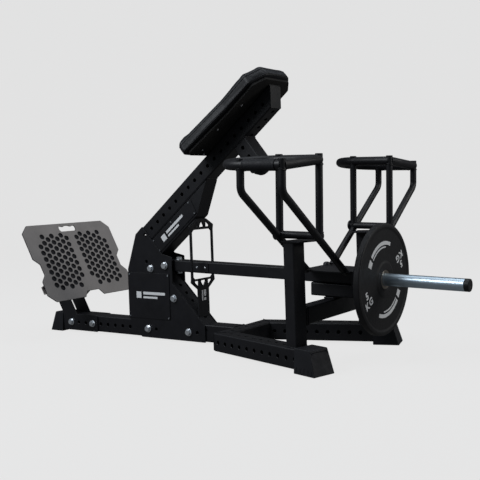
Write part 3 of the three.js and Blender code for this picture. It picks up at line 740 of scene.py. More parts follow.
def button(name, place, point, direction, radius):
    """Round-headed socket screw, with a near-black disc as painted shade in its socket."""
    seat = place @ on_axis(point, direction)
    lathe(name, [(0, .9), (1.6, .9), (1.9, 2.1), (2.6, 2.2), (radius * .8, 1.7),
                 (radius * .97, .9), (radius, .1), (radius, -1.0), (0, -1.0)], seat, ZINC, 28)
    # painted shade: a near-black disc on the floor of the socket recess
    lathe(name + "_socket_shade", [(0, 1.1), (1.7, 1.1), (1.75, .7), (0, .7)], seat, SOCKET_SHADE, 6)


# ------------------------------------------------------------------ base frame
def spine_and_crossmember():
    stations = [-1073 + PITCH * i for i in range(9)] + [-548, -498, -298, -248]
    box_tube("spine", (-1180, 0, 0), (-40.4, 0, 0), FRAME @ shift(0, 0, TUBE_MID),
             drills={"y": stations})
    box_tube("crossmember_skin", (-LEG_Y, -MITRE, 0), (LEG_Y, MITRE, 0),
             FRAME @ along_y(0, TUBE_MID),
             drills={"+z": [PITCH * i for i in range(-2, 3)] + [-LEG_Y, LEG_Y]})


def leg():
    box_tube("leg_R", (0, MITRE, 0), (600, 0, 0), FRAME @ LEG,
             drills={"y": [PITCH * i for i in range(11)], "+z": [PITCH * i for i in range(9)]})
    # mitre weld on the top and outer faces
    for name, line in (("mitre_bead_R", ((-39, 40.4), (-20, 40.6), (20, 40.6), (38, 40.4))),
                       ("mitre_bead_side_R", ((-40.2, 36), (-40.4, 0), (-40.2, -36)))):
        bead(name, [LEG @ Vector((MITRE * y, y, z)) for y, z in line], 1.5, closed=False)


def rear_foot():
    """Rubber boot with five ribs low on its outer side."""
    foot = FRAME @ LEG_FLOOR
    block("rear_foot_R", 507, 624, -53, 53, 0, TUBE_TOP + 6, foot, bevel=3.5, steps=4,
          top=(507, 594, -46, 46))
    for k in range(5):
        x = 514 + 22 * k
        block(f"foot_rib_{k}_R", x, x + 10, -53.8, -52.2, 8, 26, foot, bevel=0.6, steps=2,
              top=(x + 1, x + 9, -52.6, -51))


def column():
    """Upright on the leg with a rest plate on top."""
    box_tube("column_R", (TUBE_TOP + GAP, 0, 0), (495, 0, 0), FRAME @ COLUMN @ UPWARD,
             width=60, height=60, wall=3, corner=6)
    for name, width, z, radius in (("column_bead_R", 62, TUBE_TOP + 1.2, 2.2),
                                   ("column_top_bead_R", 61.5, 494.2, 1.8)):
        ring = at_height(rounded_box(width, width, 7, 6), z)
        bead(name, [COLUMN @ Vector(p) for p in ring], radius)
    plate("rest_plate_R", rectangle(-35, 76, -38, 82), 495.3, 501.3, FRAME @ COLUMN,
          corner=9, chamfer=1)


def leg_side():
    leg()
    rear_foot()
    column()


def front_foot():
    block("front_foot_boot", -1223, -1136, -53, 53, 0, TUBE_TOP + 6, FRAME, bevel=3.5, steps=4,
          top=(-1192, -1136, -46, 46))
    bead("spine_bead", [(-41.5, y, TUBE_MID + z) for y, z in rounded_box(81, 81, 8, 6)], 2.0)


def rear_beam():
    """Beam between the columns, with the lever's rubber stop on it."""
    x = COLUMN_FOOT.x
    box_tube("rear_beam", (-252, 0, 0), (252, 0, 0), FRAME @ along_y(x, BEAM_Z),
             width=60, height=70, corner=6)
    for side in (-1, 1):
        bead(f"rear_beam_bead_{side + 1}", [(x + a, side * (250.5 - a * tan(SPLAY)), BEAM_Z + b)
                                            for a, b in rounded_box(62, 72, 7, 6)], 2.0)
    block("stop_rubber", x - 24, x + 24, -36, 36, 240.3, 248.2, FRAME, bevel=2.5, steps=4)


def base_frame():
    spine_and_crossmember()
    both_sides(leg_side)
    front_foot()
    rear_beam()


# ------------------------------------------------------------------ tower
SEAT = (-667, 332)                      # the gusset's front upper corner
ARM_TOP = arm_point(-45, HALF)          # the arm's low top corner
ARM_END_X = 192                         # the arm's plumb-cut high end


def arm_low_end():
    """The arm's low end plane, along a line from the seat to its own top corner."""
    run, rise = ARM_TOP[0] - SEAT[0], ARM_TOP[1] - SEAT[1]
    length = hypot(run, rise)
    normal_x, normal_z = -rise / length, run / length

    def station(above):
        x, z = arm_point(0, above)
        reach = (x - (SEAT[0] + 1)) * normal_x + (z - SEAT[1]) * normal_z
        return -reach / (ARM_ALONG.x * normal_x + ARM_ALONG.z * normal_z)

    return station(0), 0, station(1) - station(0)


def post():
    x = -625.0
    box_tube("post", (TUBE_TOP + GAP, 0, 0), (arm_height(x, -HALF - GAP), 0, -tan(ARM_SLOPE)),
             FRAME @ shift(x, 0, 0) @ UPWARD)


def arm():
    low = arm_low_end()
    high = ((ARM_END_X - ARM_X) / ARM_ALONG.x, 0, -ARM_NORMAL.x / ARM_ALONG.x)
    box_tube("arm", low, high, ON_ARM, drills={"y": [PITCH * i for i in range(19)],
                                               "-z": [PITCH * i for i in range(15, 19)]})
    half = 35.5                         # half the width of the plug in the low end
    foot = arm_point(low[0] + low[2] * -half, -half)
    head = arm_point(low[0] + low[2] * half, half)
    rise = Vector((head[0] - foot[0], 0, head[1] - foot[1]))
    length = rise.length
    rise.normalize()
    plug = axes((0, 1, 0), tuple(rise), (-rise.z, 0, rise.x), (foot[0], 0, foot[1]))
    plate("arm_low_plug", rectangle(-half, half, 0, length), -9, -5, FRAME @ plug, PLASTIC,
          corner=5)
    z = arm_height(ARM_END_X, 0)
    plate("arm_cap", rectangle(-39, 39, z - 50, z + 47), 0, 3.7, FRAME @ end_plane(192.3),
          PLASTIC, corner=6, chamfer=1)


def doubler():
    """Closed box under the arm, with a slanted high end."""
    tip, heel = 462, 300                # stations of the slanted end's top and bottom
    slope = (tip - heel) / (DOUBLER_DEPTH - 37)
    middle = (-DOUBLER_DEPTH - HALF - GAP) / 2
    box_tube("doubler", (-12, 0, 0), (heel + slope * (middle + DOUBLER_DEPTH), 0, slope),
             FRAME @ ARM @ shift(0, 0, middle), height=DOUBLER_DEPTH - HALF - GAP,
             corner=6, closed=True)
    for side in (-1, 1):
        bead(f"doubler_seam_{side + 1}", [ARM @ Vector((s, side * 40.3, -HALF - .2))
                                          for s in range(24, 452, 6)], 1.4, closed=False)
    bead("doubler_nose_bead", [ARM @ Vector((tip - 3, y, -HALF - .6))
                               for y in range(-36, 37, 6)], 2.0, closed=False)


def brace():
    """45 degree tube from the tower down to the spine."""
    box_tube("brace", ((BRACE_Z - 335) / DIAGONAL, 0, 0),
             ((BRACE_Z - TUBE_TOP - GAP) / DIAGONAL, 0, 1), FRAME @ BRACE @ shift(0, 0, -HALF),
             drills={"+z": [(BRACE_Z - z) / DIAGONAL for z in range(261, 120, -35)]})


# gusset outline, x and z
GUSSET = [(-667, 98), (-590, 9), (-201, 9), (-201, 85.5), (-387, 271.5), (-387, 396),
          arm_point(24, -DOUBLER_DEPTH - 2), arm_point(12, HALF + 1), ARM_TOP, SEAT]


def printed_mark(tag, place, unit):
    """A square and two bars."""
    for i, box in enumerate(((0, 26, 0, 26), (36, 150, 15, 26), (36, 110, 0, 8))):
        plate(f"mark_{tag}_{i}_R", rectangle(*(v * unit for v in box)), 0, 0.35, place, INK,
              corner=2, chamfer=0.1)


def tower_side():
    side = FRAME @ SIDE
    plate("gusset_R", GUSSET, SKIN, SIDE_FACE, side, corner=5,
          holes=[(-544, 371, 8.3), (-498, TUBE_MID, HOLE), (-248, TUBE_MID, HOLE),
                 (ARM_X, ARM_Z, HOLE)])
    cover_face = SKIN + 9.3
    plate("cover_R", rectangle(-665, -405, 100, 317), SKIN + 6.3, cover_face, side, corner=4)
    for i, (x, z) in enumerate(((-657, 309), (-657, 108), (-413, 309), (-413, 108))):
        button(f"cover_screw_{i}_R", FRAME, (x, -cover_face, z), (0, -1, 0), 3.4)
    # panel over the doubler; stations and heights in the arm's frame
    low = -DOUBLER_DEPTH
    panel = [(16, -47), (16, low + 12), (312, low + 12), (326, -47)]
    screws = [(24, -54), (24, low + 19), (307, -54), (303, low + 19), (166, -54)]
    plate("arm_panel_R", [arm_point(*p) for p in panel], SKIN + .1, SKIN + 2.6, side,
          corner=4, chamfer=0.7)
    for i, (x, z) in enumerate(arm_point(*p) for p in screws):
        button(f"panel_screw_{i}_R", FRAME, (x, -(SKIN + 2.6), z), (0, -1, 0), 3.0)
    printed_mark("cover", side @ shift(-612, 196, SKIN + 9.25), 1.2)
    x, z = arm_point(70, -98)
    printed_mark("panel", side @ shift(x, z, SKIN + 2.55) @ Matrix.Rotation(ARM_SLOPE, 4, "Z"),
                 1.14)


# name, x, z, width across flats, turn of the head in radians
THROUGH_BOLTS = (
    ("b_upper", -518, 339, 24, 0.25), ("b_brace", -380, 203, 24, 0.6),
    ("b_base_f", -548, TUBE_MID, 24, 0.1), ("b_base_r", -298, TUBE_MID, 24, 0.45),
    ("b_brk_f", -1073, TUBE_MID, 24, 0.2), ("b_brk_r", -923, TUBE_MID, 24, 0.7),
    ("axle", PIVOT_X, PIVOT_Z, 27, 0.5),
)


def through_bolts():
    """Heads on the right, nuts on the left."""
    for name, x, z, flats, spin in THROUGH_BOLTS:
        bolt_end(name + "_a", FRAME, (x, -SIDE_FACE - .1, z), (0, -1, 0), flats, spin=spin)
        bolt_end(name + "_b", FRAME, (x, SIDE_FACE + .1, z), (0, 1, 0), flats, nut=True,
                 spin=spin * 2)
    lathe("axle_shank", [(0, -46), (9.9, -46), (9.9, 46), (0, 46)],
          FRAME @ on_axis((PIVOT_X, 0, PIVOT_Z), (0, 1, 0)), ZINC, 40)


def guide_post():
    """Upright plate with the window the lever moves in; outlines in y and z."""
    foot, top = 123.5, arm_height(GUIDE_X, -DOUBLER_DEPTH - GAP) - .2
    outline = [(-38, foot), (38, foot), (38, 250), (83, 284), (80, 302), (80, 520), (84, 542),
               (34, top), (-34, top), (-84, 542), (-80, 520), (-80, 302), (-83, 284), (-38, 250)]
    window = [(-68, 308), (-56, 298), (56, 298), (68, 308), (68, 512), (56, 523), (-56, 523),
              (-68, 512)]
    triangles = [[(-62, 534), (-28, 534), (-30, 560)], [(-18, 534), (18, 534), (0, 564)],
                 [(62, 534), (30, 560), (28, 534)], [(-66, 289), (-34, 262), (-32, 289)],
                 [(-20, 289), (0, 259), (20, 289)], [(66, 289), (32, 289), (34, 262)]]
    place = FRAME @ end_plane(GUIDE_X)
    plate("guide_frame", outline, 0, 8, place, corner=4, windows=[window] + triangles)
    for i, box in enumerate(((-15, -6, 196, 244), (0, 14, 196, 208), (0, 14, 215, 244))):
        plate(f"mark_post_{i}", rectangle(*box), 7.95, 8.3, place, INK, corner=1.5, chamfer=0.1)
    bead("post_foot_bead", [(-237.3, y, 123.9) for y in range(-35, 36, 5)], 1.8, closed=False)


# stop buffer sections: z, radius, squareness
BUFFER = ((-183.6, 36, 0.55), (-186, 38, 0.5), (-190, 38.5, .4), (-197, 33, .2),
          (-204, 28, 0), (-208.5, 22, 0), (-211.2, 14, 0), (-212, 6, 0))


def upper_stop():
    """Tube under the arm with a rubber buffer on its end."""
    place = FRAME @ STOP
    downward = axes((0, 0, -1), (0, 1, 0), (1, 0, 0))
    box_tube("stop_tube", (HALF + GAP, 0, 0), (180, 0, 0), place @ downward,
             drills={"y": [70, 120]})
    ring = at_height(rounded_box(81.5, 81.5, 8, 6), -HALF - 1.2)
    bead("stop_bead", [STOP @ Vector(p) for p in ring], 2.2)
    plate("stop_end_plate", rounded_box(78, 78, 8), -183.5, -180.1, place)
    rings = []
    for z, radius, squareness in BUFFER:
        ring = []
        for a in angles(48):
            corner = min(1 / max(abs(cos(a)), abs(sin(a))), 1.28) - 1
            reach = radius * (1 + corner * squareness)
            ring.append((reach * cos(a), reach * sin(a), z))
        rings.append(ring)
    capped("stop_buffer", rings, place, RUBBER, 40)


def tower():
    post()
    arm()
    doubler()
    brace()
    both_sides(tower_side)
    through_bolts()
    guide_post()
    upper_stop()


# ------------------------------------------------------------------ chest pad
# Outline in stations along the arm and half widths.
PAD_LOW, PAD_HIGH, PAD_HALF, PAD_LOW_HALF = 503, 1024, 149, 179
# starting form's sections: inset, height above the arm's centreline
PAD_SECTIONS = ((15, 53.4), (5, 55.5), (1, 61), (0, 70), (0, 88), (2.5, 100), (8.5, 109.5),
                (17, 115.5), (28, 119), (44, 120.4))
# welts: name, height, radius, height of the stitches from the welt
WELTS = (("upper", 93, 1.7, -4.2), ("lower", 60.5, 1.5, 4.2))
# bolts under the board: station, y
PAD_BOLTS = ((844, 95), (844, -95), (558, 93), (558, -93), (533, -62), (533, 62),
             (690, 110), (690, -110))


def pad_outline(margin=0, radius=26):
    low, high = PAD_LOW + margin, PAD_HIGH - margin
    half, low_half = PAD_HALF - margin, PAD_LOW_HALF - margin
    return fillet([(low, -low_half + 16), (low + 16, -low_half), (800, -half), (960, -half),
                   (high, -84), (high, 84), (960, half), (800, half), (low + 16, low_half),
                   (low, low_half - 16)], radius, 6)


def pad_blank():
    """Starting form in metres in the arm's frame, a little smaller than the pad."""
    rings = [at_height(inset(pad_outline(), margin), z) for margin, z in PAD_SECTIONS]
    size = len(rings[0]), len(rings)
    mesh = build_mesh("cushion", [v for ring in rings for v in ring], bands(*size) + caps(*size),
                      Matrix.Scale(0.001, 4), VINYL)
    pad = add_object("cushion", mesh)
    pad["smooth"] = 180
    return pad


def remesh(pad, voxel):
    modifier = pad.modifiers.new("remesh", "REMESH")
    modifier.mode, modifier.voxel_size = "VOXEL", voxel
    bake(pad)


def inflate(pad):
    """Puffs the pad out as pressurised cloth pinned round its underside."""
    pin_height, most, frames = 0.0575, 0.0045, 20      # metres, metres, frames simulated
    rest = [v.co.copy() for v in pad.data.vertices]
    pinned = pad.vertex_groups.new(name="pin")
    pinned.add([v.index for v in pad.data.vertices if v.co.z < pin_height], 1.0, "REPLACE")
    cloth = pad.modifiers.new("cloth", "CLOTH")
    settings = cloth.settings
    settings.quality, settings.mass = 6, 0.3
    settings.tension_stiffness = settings.compression_stiffness = 12
    settings.shear_stiffness = 6
    settings.bending_stiffness = 1.2
    settings.use_pressure, settings.uniform_pressure_force = True, 4.0
    settings.vertex_group_mass = "pin"
    settings.effector_weights.gravity = 0
    cloth.point_cache.frame_start, cloth.point_cache.frame_end = 1, frames
    SCENE.frame_start, SCENE.frame_end = 1, frames
    for frame in range(1, frames + 1):
        SCENE.frame_set(frame)
    bake(pad)
    for vertex, start in zip(pad.data.vertices, rest):
        move = vertex.co - start
        if move.length > most:
            vertex.co = start + move * (most / move.length)
    SCENE.frame_set(1)


def soften(pad):
    """Adds a crown, edge puckers and soft handling marks, then smooths the pad."""
    for vertex in pad.data.vertices:
        x, y, z = (c * 1000 for c in vertex.co)
        if z > 100:
            crown = max(0, 1 - (y / 130) ** 2) * max(0, 1 - ((x - 760) / 260) ** 2)
            vertex.co.z += 0.005 * crown
        spot = Vector((x * 0.012, y * 0.012, z * 0.012))
        dent = noise.noise(spot) * 0.9 + noise.noise(spot * 3.1) * 0.35
        share = 1 if 58 < z < 108 else 0.25
        wave = sin(x * 0.21 + 3 * noise.noise(spot * 2))
        pucker = wave * (0.45 if 55 < z < 66 else 0)
        outward = Vector((0, 1 if y > 0 else -1, 0)) if abs(y) > 60 else Vector((0, 0, 1))
        vertex.co += outward * 0.001 * (dent * 0.45 * share + pucker * 0.6)
    subdivide = pad.modifiers.new("subdivide", "SUBSURF")
    subdivide.levels = subdivide.render_levels = 1
    smooth = pad.modifiers.new("smooth", "SMOOTH")
    smooth.factor, smooth.iterations = 0.5, 7
    bake(pad)
    limits = ((0.4975, 1.030), (-.184, .184), (0.0533, 0.1265))
    for vertex in pad.data.vertices:
        vertex.co = [max(low, min(high, c)) for c, (low, high) in zip(vertex.co, limits)]


def pad_line(tree, height, lift):
    """Path round the pad's surface at a height, in mm in the arm's frame."""
    line = []
    for point in densify([Vector(p) for p in pad_outline()], 3.0):
        x = point.x - 765
        if abs(point.y) > 100 and 540 < point.x < 960:
            x *= 0.25           # look more squarely at the long sides
        aim = Vector((x, point.y)).normalized()
        origin = Vector((point.x + aim.x * 60, point.y + aim.y * 60, height)) / 1000
        spot, normal = tree.ray_cast(origin, Vector((-aim.x, -aim.y, 0)))[:2]
        if spot:
            line.append((spot + normal * (lift / 1000)) * 1000)
    return line


def stitches(name, line):
    """A small tapered stitch on every second step of a line."""
    verts, faces = [], []
    for i in range(0, len(line) - 2, 2):
        start, end = line[i], line[i].lerp(line[i + 1], 0.95)
        along = end - start
        if along.length > 8 or along.length < 0.5:
            continue
        along.normalize()
        out = along.cross(Vector((0, 0, 1))).normalized()
        up = out.cross(along).normalized()
        base = len(verts)
        for centre, radius in ((start, .25), (start.lerp(end, .25), .55),
                               (start.lerp(end, .75), .55), (end, .25)):
            verts += [tuple(centre + out * (radius * cos(a)) + up * (radius * sin(a)))
                      for a in angles(6)]
        faces += bands(6, 4, base) + caps(6, 4, base)
    make(name, verts, faces, ON_ARM, THREAD, 60)


def chest_pad():
    plate("board", pad_outline(17, 14), HALF + 1, HALF + 13, ON_ARM, BOARD, chamfer=1.5)
    pad = pad_blank()
    remesh(pad, 0.005)
    inflate(pad)
    soften(pad)
    bm = bmesh.new()
    bm.from_mesh(pad.data)
    tree = BVHTree.FromBMesh(bm)
    bm.free()
    for name, height, radius, stitch_offset in WELTS:
        sweep("welt_" + name, pad_line(tree, height, 0.1), radius, ON_ARM, VINYL, seg=10,
              closed=True)
        stitches("stitches_" + name, pad_line(tree, height + stitch_offset, 0.15))
    pad.data.transform(ON_ARM @ Matrix.Scale(1000, 4))
    PIECES["cushion"] = pad
    for i, (x, y) in enumerate(PAD_BOLTS):
        button(f"pad_bolt_{i}", ON_ARM, (x, y, HALF + 0.95), (0, 0, -1), 5.0)


# ------------------------------------------------------------------ footplate
# left half of the footplate, y and distance up the plate
FOOT_HALF = [(39, 91), (60, 60), (242, 60), (282, 99), (278, 174), (251, 206), (252, 264),
             (282, 296), (283, 437), (243, 478)]
FOOT_SLOT = [(-52, 442), (-44, 432), (44, 432), (52, 442), (52, 456), (46, 463), (24, 458),
             (8, 464), (-8, 464), (-24, 458), (-46, 463), (-52, 456)]
# hole columns outwards from the middle: rows skipped at the top, holes
FOOT_COLUMNS = ((0.5, 7), (0, 9), (0.5, 8), (0, 9), (0.5, 8), (0, 9), (1.5, 7))
FOOT_MAT = [(20, 106), (222, 106), (236, 140), (236, 416), (222, 432), (20, 432)]
CHANNEL = [(0, 0), (40, 0), (40, 28.4), (36, 28.4), (36, 4), (4, 4), (4, 28.4), (0, 28.4)]


def foot_plate():
    place = FRAME @ FOOT
    holes = [(3 + side * (33 + 29.3 * column_), 411 - 35.4 * (first + row), 13.2)
             for side in (-1, 1)
             for column_, (first, count) in enumerate(FOOT_COLUMNS)
             for row in range(count)]
    outline = FOOT_HALF + [(-y, up) for y, up in FOOT_HALF[::-1]]
    sheet = plate("footplate", outline, -5, 0, place, GREY, corner=7, holes=holes,
                  windows=[FOOT_SLOT], seg=22).data
    sheet.materials.append(PLATE_COAT)          # painted shade: cut edges and hole walls get the dark coat
    for face in sheet.polygons:
        if abs(face.normal.dot(FOOT_NORMAL)) < 0.8:
            face.material_index = 1
    for side, name in ((1, "left"), (-1, "right")):
        plate("mat_" + name, [(side * y, up) for y, up in FOOT_MAT], -10.5, -5.3, place, RUBBER,
              corner=8)
    for name, up, half_width in (("channel_low", 122, 264), ("channel_high", 385, 212)):
        plate(name, CHANNEL, 0, 2 * half_width, place @ end_plane(-half_width, up, -42), GREY,
              corner=2.2, chamfer=0.5)


def behind(up, depth):
    """Machine (x, z) of a point up the footplate and behind its face."""
    point = Vector(FOOT_ORIGIN) + FOOT_UP * up - FOOT_NORMAL * depth
    return point.x, point.z


def bracket():
    """Side plate that carries the footplate on the spine."""
    lower = [(-1128, 10), (-890, 10), (-890, 92), (-1036, 92)]
    # distance up the footplate, depth behind it
    upper = ((104, 128), (120, 42.3), (164, 42.3), (174, 54), (374, 54), (384, 42.3),
             (426, 42.3), (431, 62), (130, 212))
    window = ((215, 76), (345, 74), (345, 92), (215, 128))
    plate("bracket_R", lower + [behind(*p) for p in upper] + [(-1133, 95)], SKIN, SIDE_FACE,
          FRAME @ SIDE, corner=6, holes=[(x, TUBE_MID, HOLE) for x in (-1023, -973)],
          windows=[[behind(*p) for p in window]])


def footplate():
    foot_plate()
    both_sides(bracket)


# ------------------------------------------------------------------ lever
# Sizes in the lever's frame: X from the axle along the lever.
def lever_pivot():
    box_tube("lever_beam", (31, 0, 0), (1003, 0, 0), LEVER, width=60, height=52, corner=5)
    lathe("pivot_housing", [(14.1, -36), (24, -36), (25, -35), (25, 35), (24, 36), (14.1, 36)],
          LEVER @ on_axis((0, 0, 0), (0, 1, 0)), seg=56, closed=True)
    block("pivot_tongue", 20, 108, -25, 25, -21, 21, LEVER, PLATE_COAT)
    flanged = [(10.4, 33), (13.9, 33), (13.9, 36.3), (19.4, 36.3), (20, 36.8), (20, 39.4),
               (19.4, 39.9), (10.4, 39.9)]
    for side, name in ((-1, "right"), (1, "left")):
        lathe("bush_" + name, flanged, LEVER @ on_axis((0, 0, 0), (0, side, 0)), BRONZE,
              closed=True)
    for name, side, spin in (("knuckle_a", 1, .3), ("knuckle_b", -1, .1)):
        bolt_end(name, LEVER, (48, 0, side * 26.1), (0, 0, side), spin=spin, washer=15)


def lever_guide():
    plate("guide_R", rectangle(162, 248, -21, 21), 30.2, 33.3, LEVER @ SIDE, corner=4)
    for i, x in enumerate((182, 230)):
        button(f"guide_screw_{i}_R", LEVER, (x, -33.3, 0), (0, -1, 0), 4.6)


def lever_tail():
    """Top plate, box under the beam and flange at the sleeve end."""
    plate("top_plate", [(785, -70), (800, -100), (1003, -100), (1003, 100), (800, 100),
                        (785, 70)], 26.3, 32.3, LEVER, corner=6)
    for side in (-1, 1):
        bead(f"top_plate_bead_{side + 1}", [(x, side * 30.6, 25.6) for x in range(790, 1000, 6)],
             1.7, LEVER, closed=False)
    box_tube("stop_box", (800, 0, 0), (1000, 0, 0), LEVER @ shift(0, 0, -53.8), height=55,
             corner=6, closed=True)
    plate("rear_flange", [(-60, -30), (-52, -38), (52, -38), (60, -30), (60, 36), (-60, 36)],
          0, 9.7, LEVER @ end_plane(1003.3), corner=5, chamfer=1)
    bead("sleeve_bead", circle((1014, 0, 0), (1, 0, 0), 26.2), 2.4, LEVER)


# Handle cage on each side of the lever.
CAGE_X0, CAGE_X1 = 819, 999             # the two leg pairs
CAGE_IN, CAGE_OUT = 295, 543            # inner and outer runs, from the centre plane
LOOP_IN_Z, LOOP_OUT_Z = 478, 457        # heights of the loop's two runs
LOOP_RADIUS, LEG_RADIUS = 19, 14.5
RAIL_Z, BEND_Z = 191, 362
LEG_RISE = 0.745                        # rise over run of the slanted part of the outer legs


def cage_loop():
    """U-shaped bar, bent at its front end, with a cross bar at its rear."""
    run = 175
    bend_x = CAGE_X1 - run
    radius, middle = (CAGE_OUT - CAGE_IN) / 2, -(CAGE_OUT + CAGE_IN) / 2
    path = [(CAGE_X1 - run * i / 5, -CAGE_IN, LOOP_IN_Z) for i in range(5)]
    for i in range(33):
        a = pi / 2 + pi * i / 32
        y = middle + radius * sin(a)
        drop = (LOOP_OUT_Z - LOOP_IN_Z) * (-y - CAGE_IN) / (CAGE_OUT - CAGE_IN)
        path.append((bend_x + radius * cos(a), y, LOOP_IN_Z + drop))
    path += [(bend_x + run * i / 5, -CAGE_OUT, LOOP_OUT_Z) for i in range(1, 6)]
    sweep("loop_R", path, LOOP_RADIUS, LEVER, seg=36, cap=1.5)
    cross = [(CAGE_X1, -CAGE_OUT, LOOP_OUT_Z), (CAGE_X1, middle, (LOOP_OUT_Z + LOOP_IN_Z) / 2),
             (CAGE_X1, -CAGE_IN, LOOP_IN_Z)]
    sweep("loop_cross_R", cross, LOOP_RADIUS, LEVER, seg=36, cap=0.1)


def slant_y(z):
    """y of the slanted part of the outer legs at height z."""
    return -(CAGE_OUT - (BEND_Z - z) / LEG_RISE)


def cage_legs(k, x):
    """Inner and outer leg at x with their welds."""
    over = LOOP_RADIUS + 4
    inner = [(x, -CAGE_IN, z) for z in (RAIL_Z - 2, 330, LOOP_IN_Z + over)]
    sweep(f"inner_leg_{k}_R", inner, LEG_RADIUS, LEVER, seg=30, cap=1.8)
    turn, radius = atan2(1, LEG_RISE), 42
    bend_top = BEND_Z + radius * tan(turn / 2)
    outer = [(x, -CAGE_OUT, LOOP_OUT_Z + over), (x, -CAGE_OUT, bend_top)]
    for i in range(1, 13):
        a = turn * i / 12
        outer.append((x, -CAGE_OUT + radius - radius * cos(a), bend_top - radius * sin(a)))
    outer += [(x, slant_y(200), 200), (x, slant_y(31), 31)]
    sweep(f"outer_leg_{k}_R", outer, LEG_RADIUS, LEVER, seg=30, cap=1.2)
    for name, y, z in (("i", -CAGE_IN, LOOP_IN_Z), ("o", -CAGE_OUT, LOOP_OUT_Z)):
        bead(f"weld_{name}{k}_R", saddle((x, y, z - 60), (0, 0, 1), LEG_RADIUS + .6, (x, y, z),
                                         (1, 0, 0), LOOP_RADIUS + .6), 1.9, LEVER)
    # elliptical weld where the outer leg lands on the top plate
    slant = Vector((0, slant_y(60) - slant_y(120), -60)).normalized()
    centre, reach = Vector((x, slant_y(33.2), 33.2)), LEG_RADIUS + .5
    bead(f"weld_f{k}_R", [centre + Vector((cos(a) * reach, sin(a) * reach / abs(slant.z), 0))
                          for a in angles(32)], 2.1, LEVER)


def cage_rail():
    """Low rail between the inner legs, with a disc at its front end."""
    path = [(x, -CAGE_IN, RAIL_Z) for x in (CAGE_X0 - 12, 900, CAGE_X1 + 12)]
    sweep("rail_R", path, 15, LEVER, seg=32, cap=1.5)
    lathe("rail_disc_R", [(0, 0), (20.5, 0), (22, 1.5), (22, 8), (20.5, 9.5), (0, 9.5)],
          LEVER @ on_axis((CAGE_X0 - 20.5, -CAGE_IN, RAIL_Z), (1, 0, 0)))
    for k, x in ((1, CAGE_X0), (2, CAGE_X1)):
        bead(f"weld_r{k}_R", saddle((x, -CAGE_IN, RAIL_Z + 60), (0, 0, -1), LEG_RADIUS + .6,
                                    (x, -CAGE_IN, RAIL_Z), (1, 0, 0), 15.6), 1.8, LEVER)


def hand_grip():
    """Moulded grip with flanged ends and grooves."""
    start, end = CAGE_X0 + 18, CAGE_X1 - 22
    length = end - start
    profile = [(19.2, 0), (22.0, 0.4), (22.4, 3), (21.4, 4.5)]
    for groove in range(8, length - 8, 6):
        profile += [(21.3, groove), (20.8, groove + .7), (20.8, groove + 1.6),
                    (21.3, groove + 2.3)]
    profile += [(21.4, length - 4.5), (22.4, length - 3), (22.0, length - .4), (19.2, length)]
    lathe("grip_R", profile, LEVER @ on_axis((start, -CAGE_OUT, LOOP_OUT_Z), (1, 0, 0)), RUBBER,
          40, closed=True)


def handle_cage():
    cage_loop()
    cage_legs(1, CAGE_X0)
    cage_legs(2, CAGE_X1)
    lathe("brace_shoe_R", [(0, 14.5), (7, 14.2), (12.5, 11.5), (15.5, 6), (16.3, 0), (0, 0)],
          LEVER @ on_axis((CAGE_X0 - 17, -86, 32.3), (0, 0, 1)), seg=40)
    cage_rail()
    hand_grip()


SLEEVE_AXIS = LEVER @ on_axis((0, 0, 0), (1, 0, 0))


def weight_sleeve():
    lathe("sleeve_tube", [(21, 1013.4), (25, 1013.4), (25, 1084.6), (25, 1098.4), (25, 1461),
                          (24, 1462.8), (21, 1462.8)], SLEEVE_AXIS, SLEEVE_STEEL, 72, closed=True)
    lathe("sleeve_collar", [(25.02, 1085), (41.5, 1085), (43, 1086.5), (43, 1096.5),
                            (41.5, 1098), (25.02, 1098)], SLEEVE_AXIS, seg=64, closed=True)
    bead("collar_bead", circle((1083.8, 0, 0), (1, 0, 0), 26), 2.2, LEVER)
    lathe("sleeve_plug", [(0, 1449), (20.3, 1449), (20.3, 1463.2), (25, 1463.3), (25.1, 1464),
                          (25.1, 1480), (23.8, 1482.4), (21, 1483), (8, 1483), (7, 1482.2),
                          (0, 1482.2)], SLEEVE_AXIS, PLASTIC, 56)


def lever():
    lever_pivot()
    both_sides(lever_guide)
    lever_tail()
    both_sides(handle_cage)
    weight_sleeve()


# ------------------------------------------------------------------ bumper plate
DISC_X, DISC_WIDTH = 1099.0, 28
WEB_X = DISC_X + DISC_WIDTH - 4.25      # where the marks sit on the recessed web
DISC_FACE = LEVER @ end_plane()
# half profile: radius, depth below the widest face
DISC_PROFILE = [(38.6, 0.8), (39.6, 0), (66, 0), (68, .9), (74, 3.2), (78, 3.8), (150, 4.2),
                (199, 4.0), (203, 3.2), (208, .7), (211, 0), (219, 0), (223, 1.6)]
# hub and raised ring: radius, distance from the disc's inner face
HUB_PROFILE = [(26, 1.6), (27, .4), (37.4, .4), (38.4, 1.2), (38.4, 26.8), (37.4, 27.8),
               (27, 27.8), (26, 26.4)]
RING_PROFILE = [(46, 27.9), (46.4, 28.25), (47.4, 28.25), (47.8, 27.9)]
# printed arcs: name, start and end in degrees, inner and outer radius
ARC_MARKS = (("a", 70, 139, 139, 154), ("b", 86, 139, 127, 133), ("c", 144, 156, 127, 154))
# printed characters: sideways and upward offset from their centre
CHARACTERS = (("5", 0, 19), ("K", -17, -18), ("G", 17, -18))


def disc():
    profile = [(r, DISC_X + z) for r, z in DISC_PROFILE]
    profile += [(225, DISC_X + 4.4), (225, DISC_X + 23.6)]
    profile += [(r, DISC_X + DISC_WIDTH - z) for r, z in DISC_PROFILE[::-1]]
    lathe("bumper_disc", profile, SLEEVE_AXIS, DISC_RUBBER, 128, closed=True)
    lathe("disc_hub", [(r, DISC_X + z) for r, z in HUB_PROFILE], SLEEVE_AXIS, HUB_STEEL, 72,
          closed=True)
    lathe("disc_ring", [(r, DISC_X + z) for r, z in RING_PROFILE], SLEEVE_AXIS, DISC_RUBBER, 96,
          closed=True)


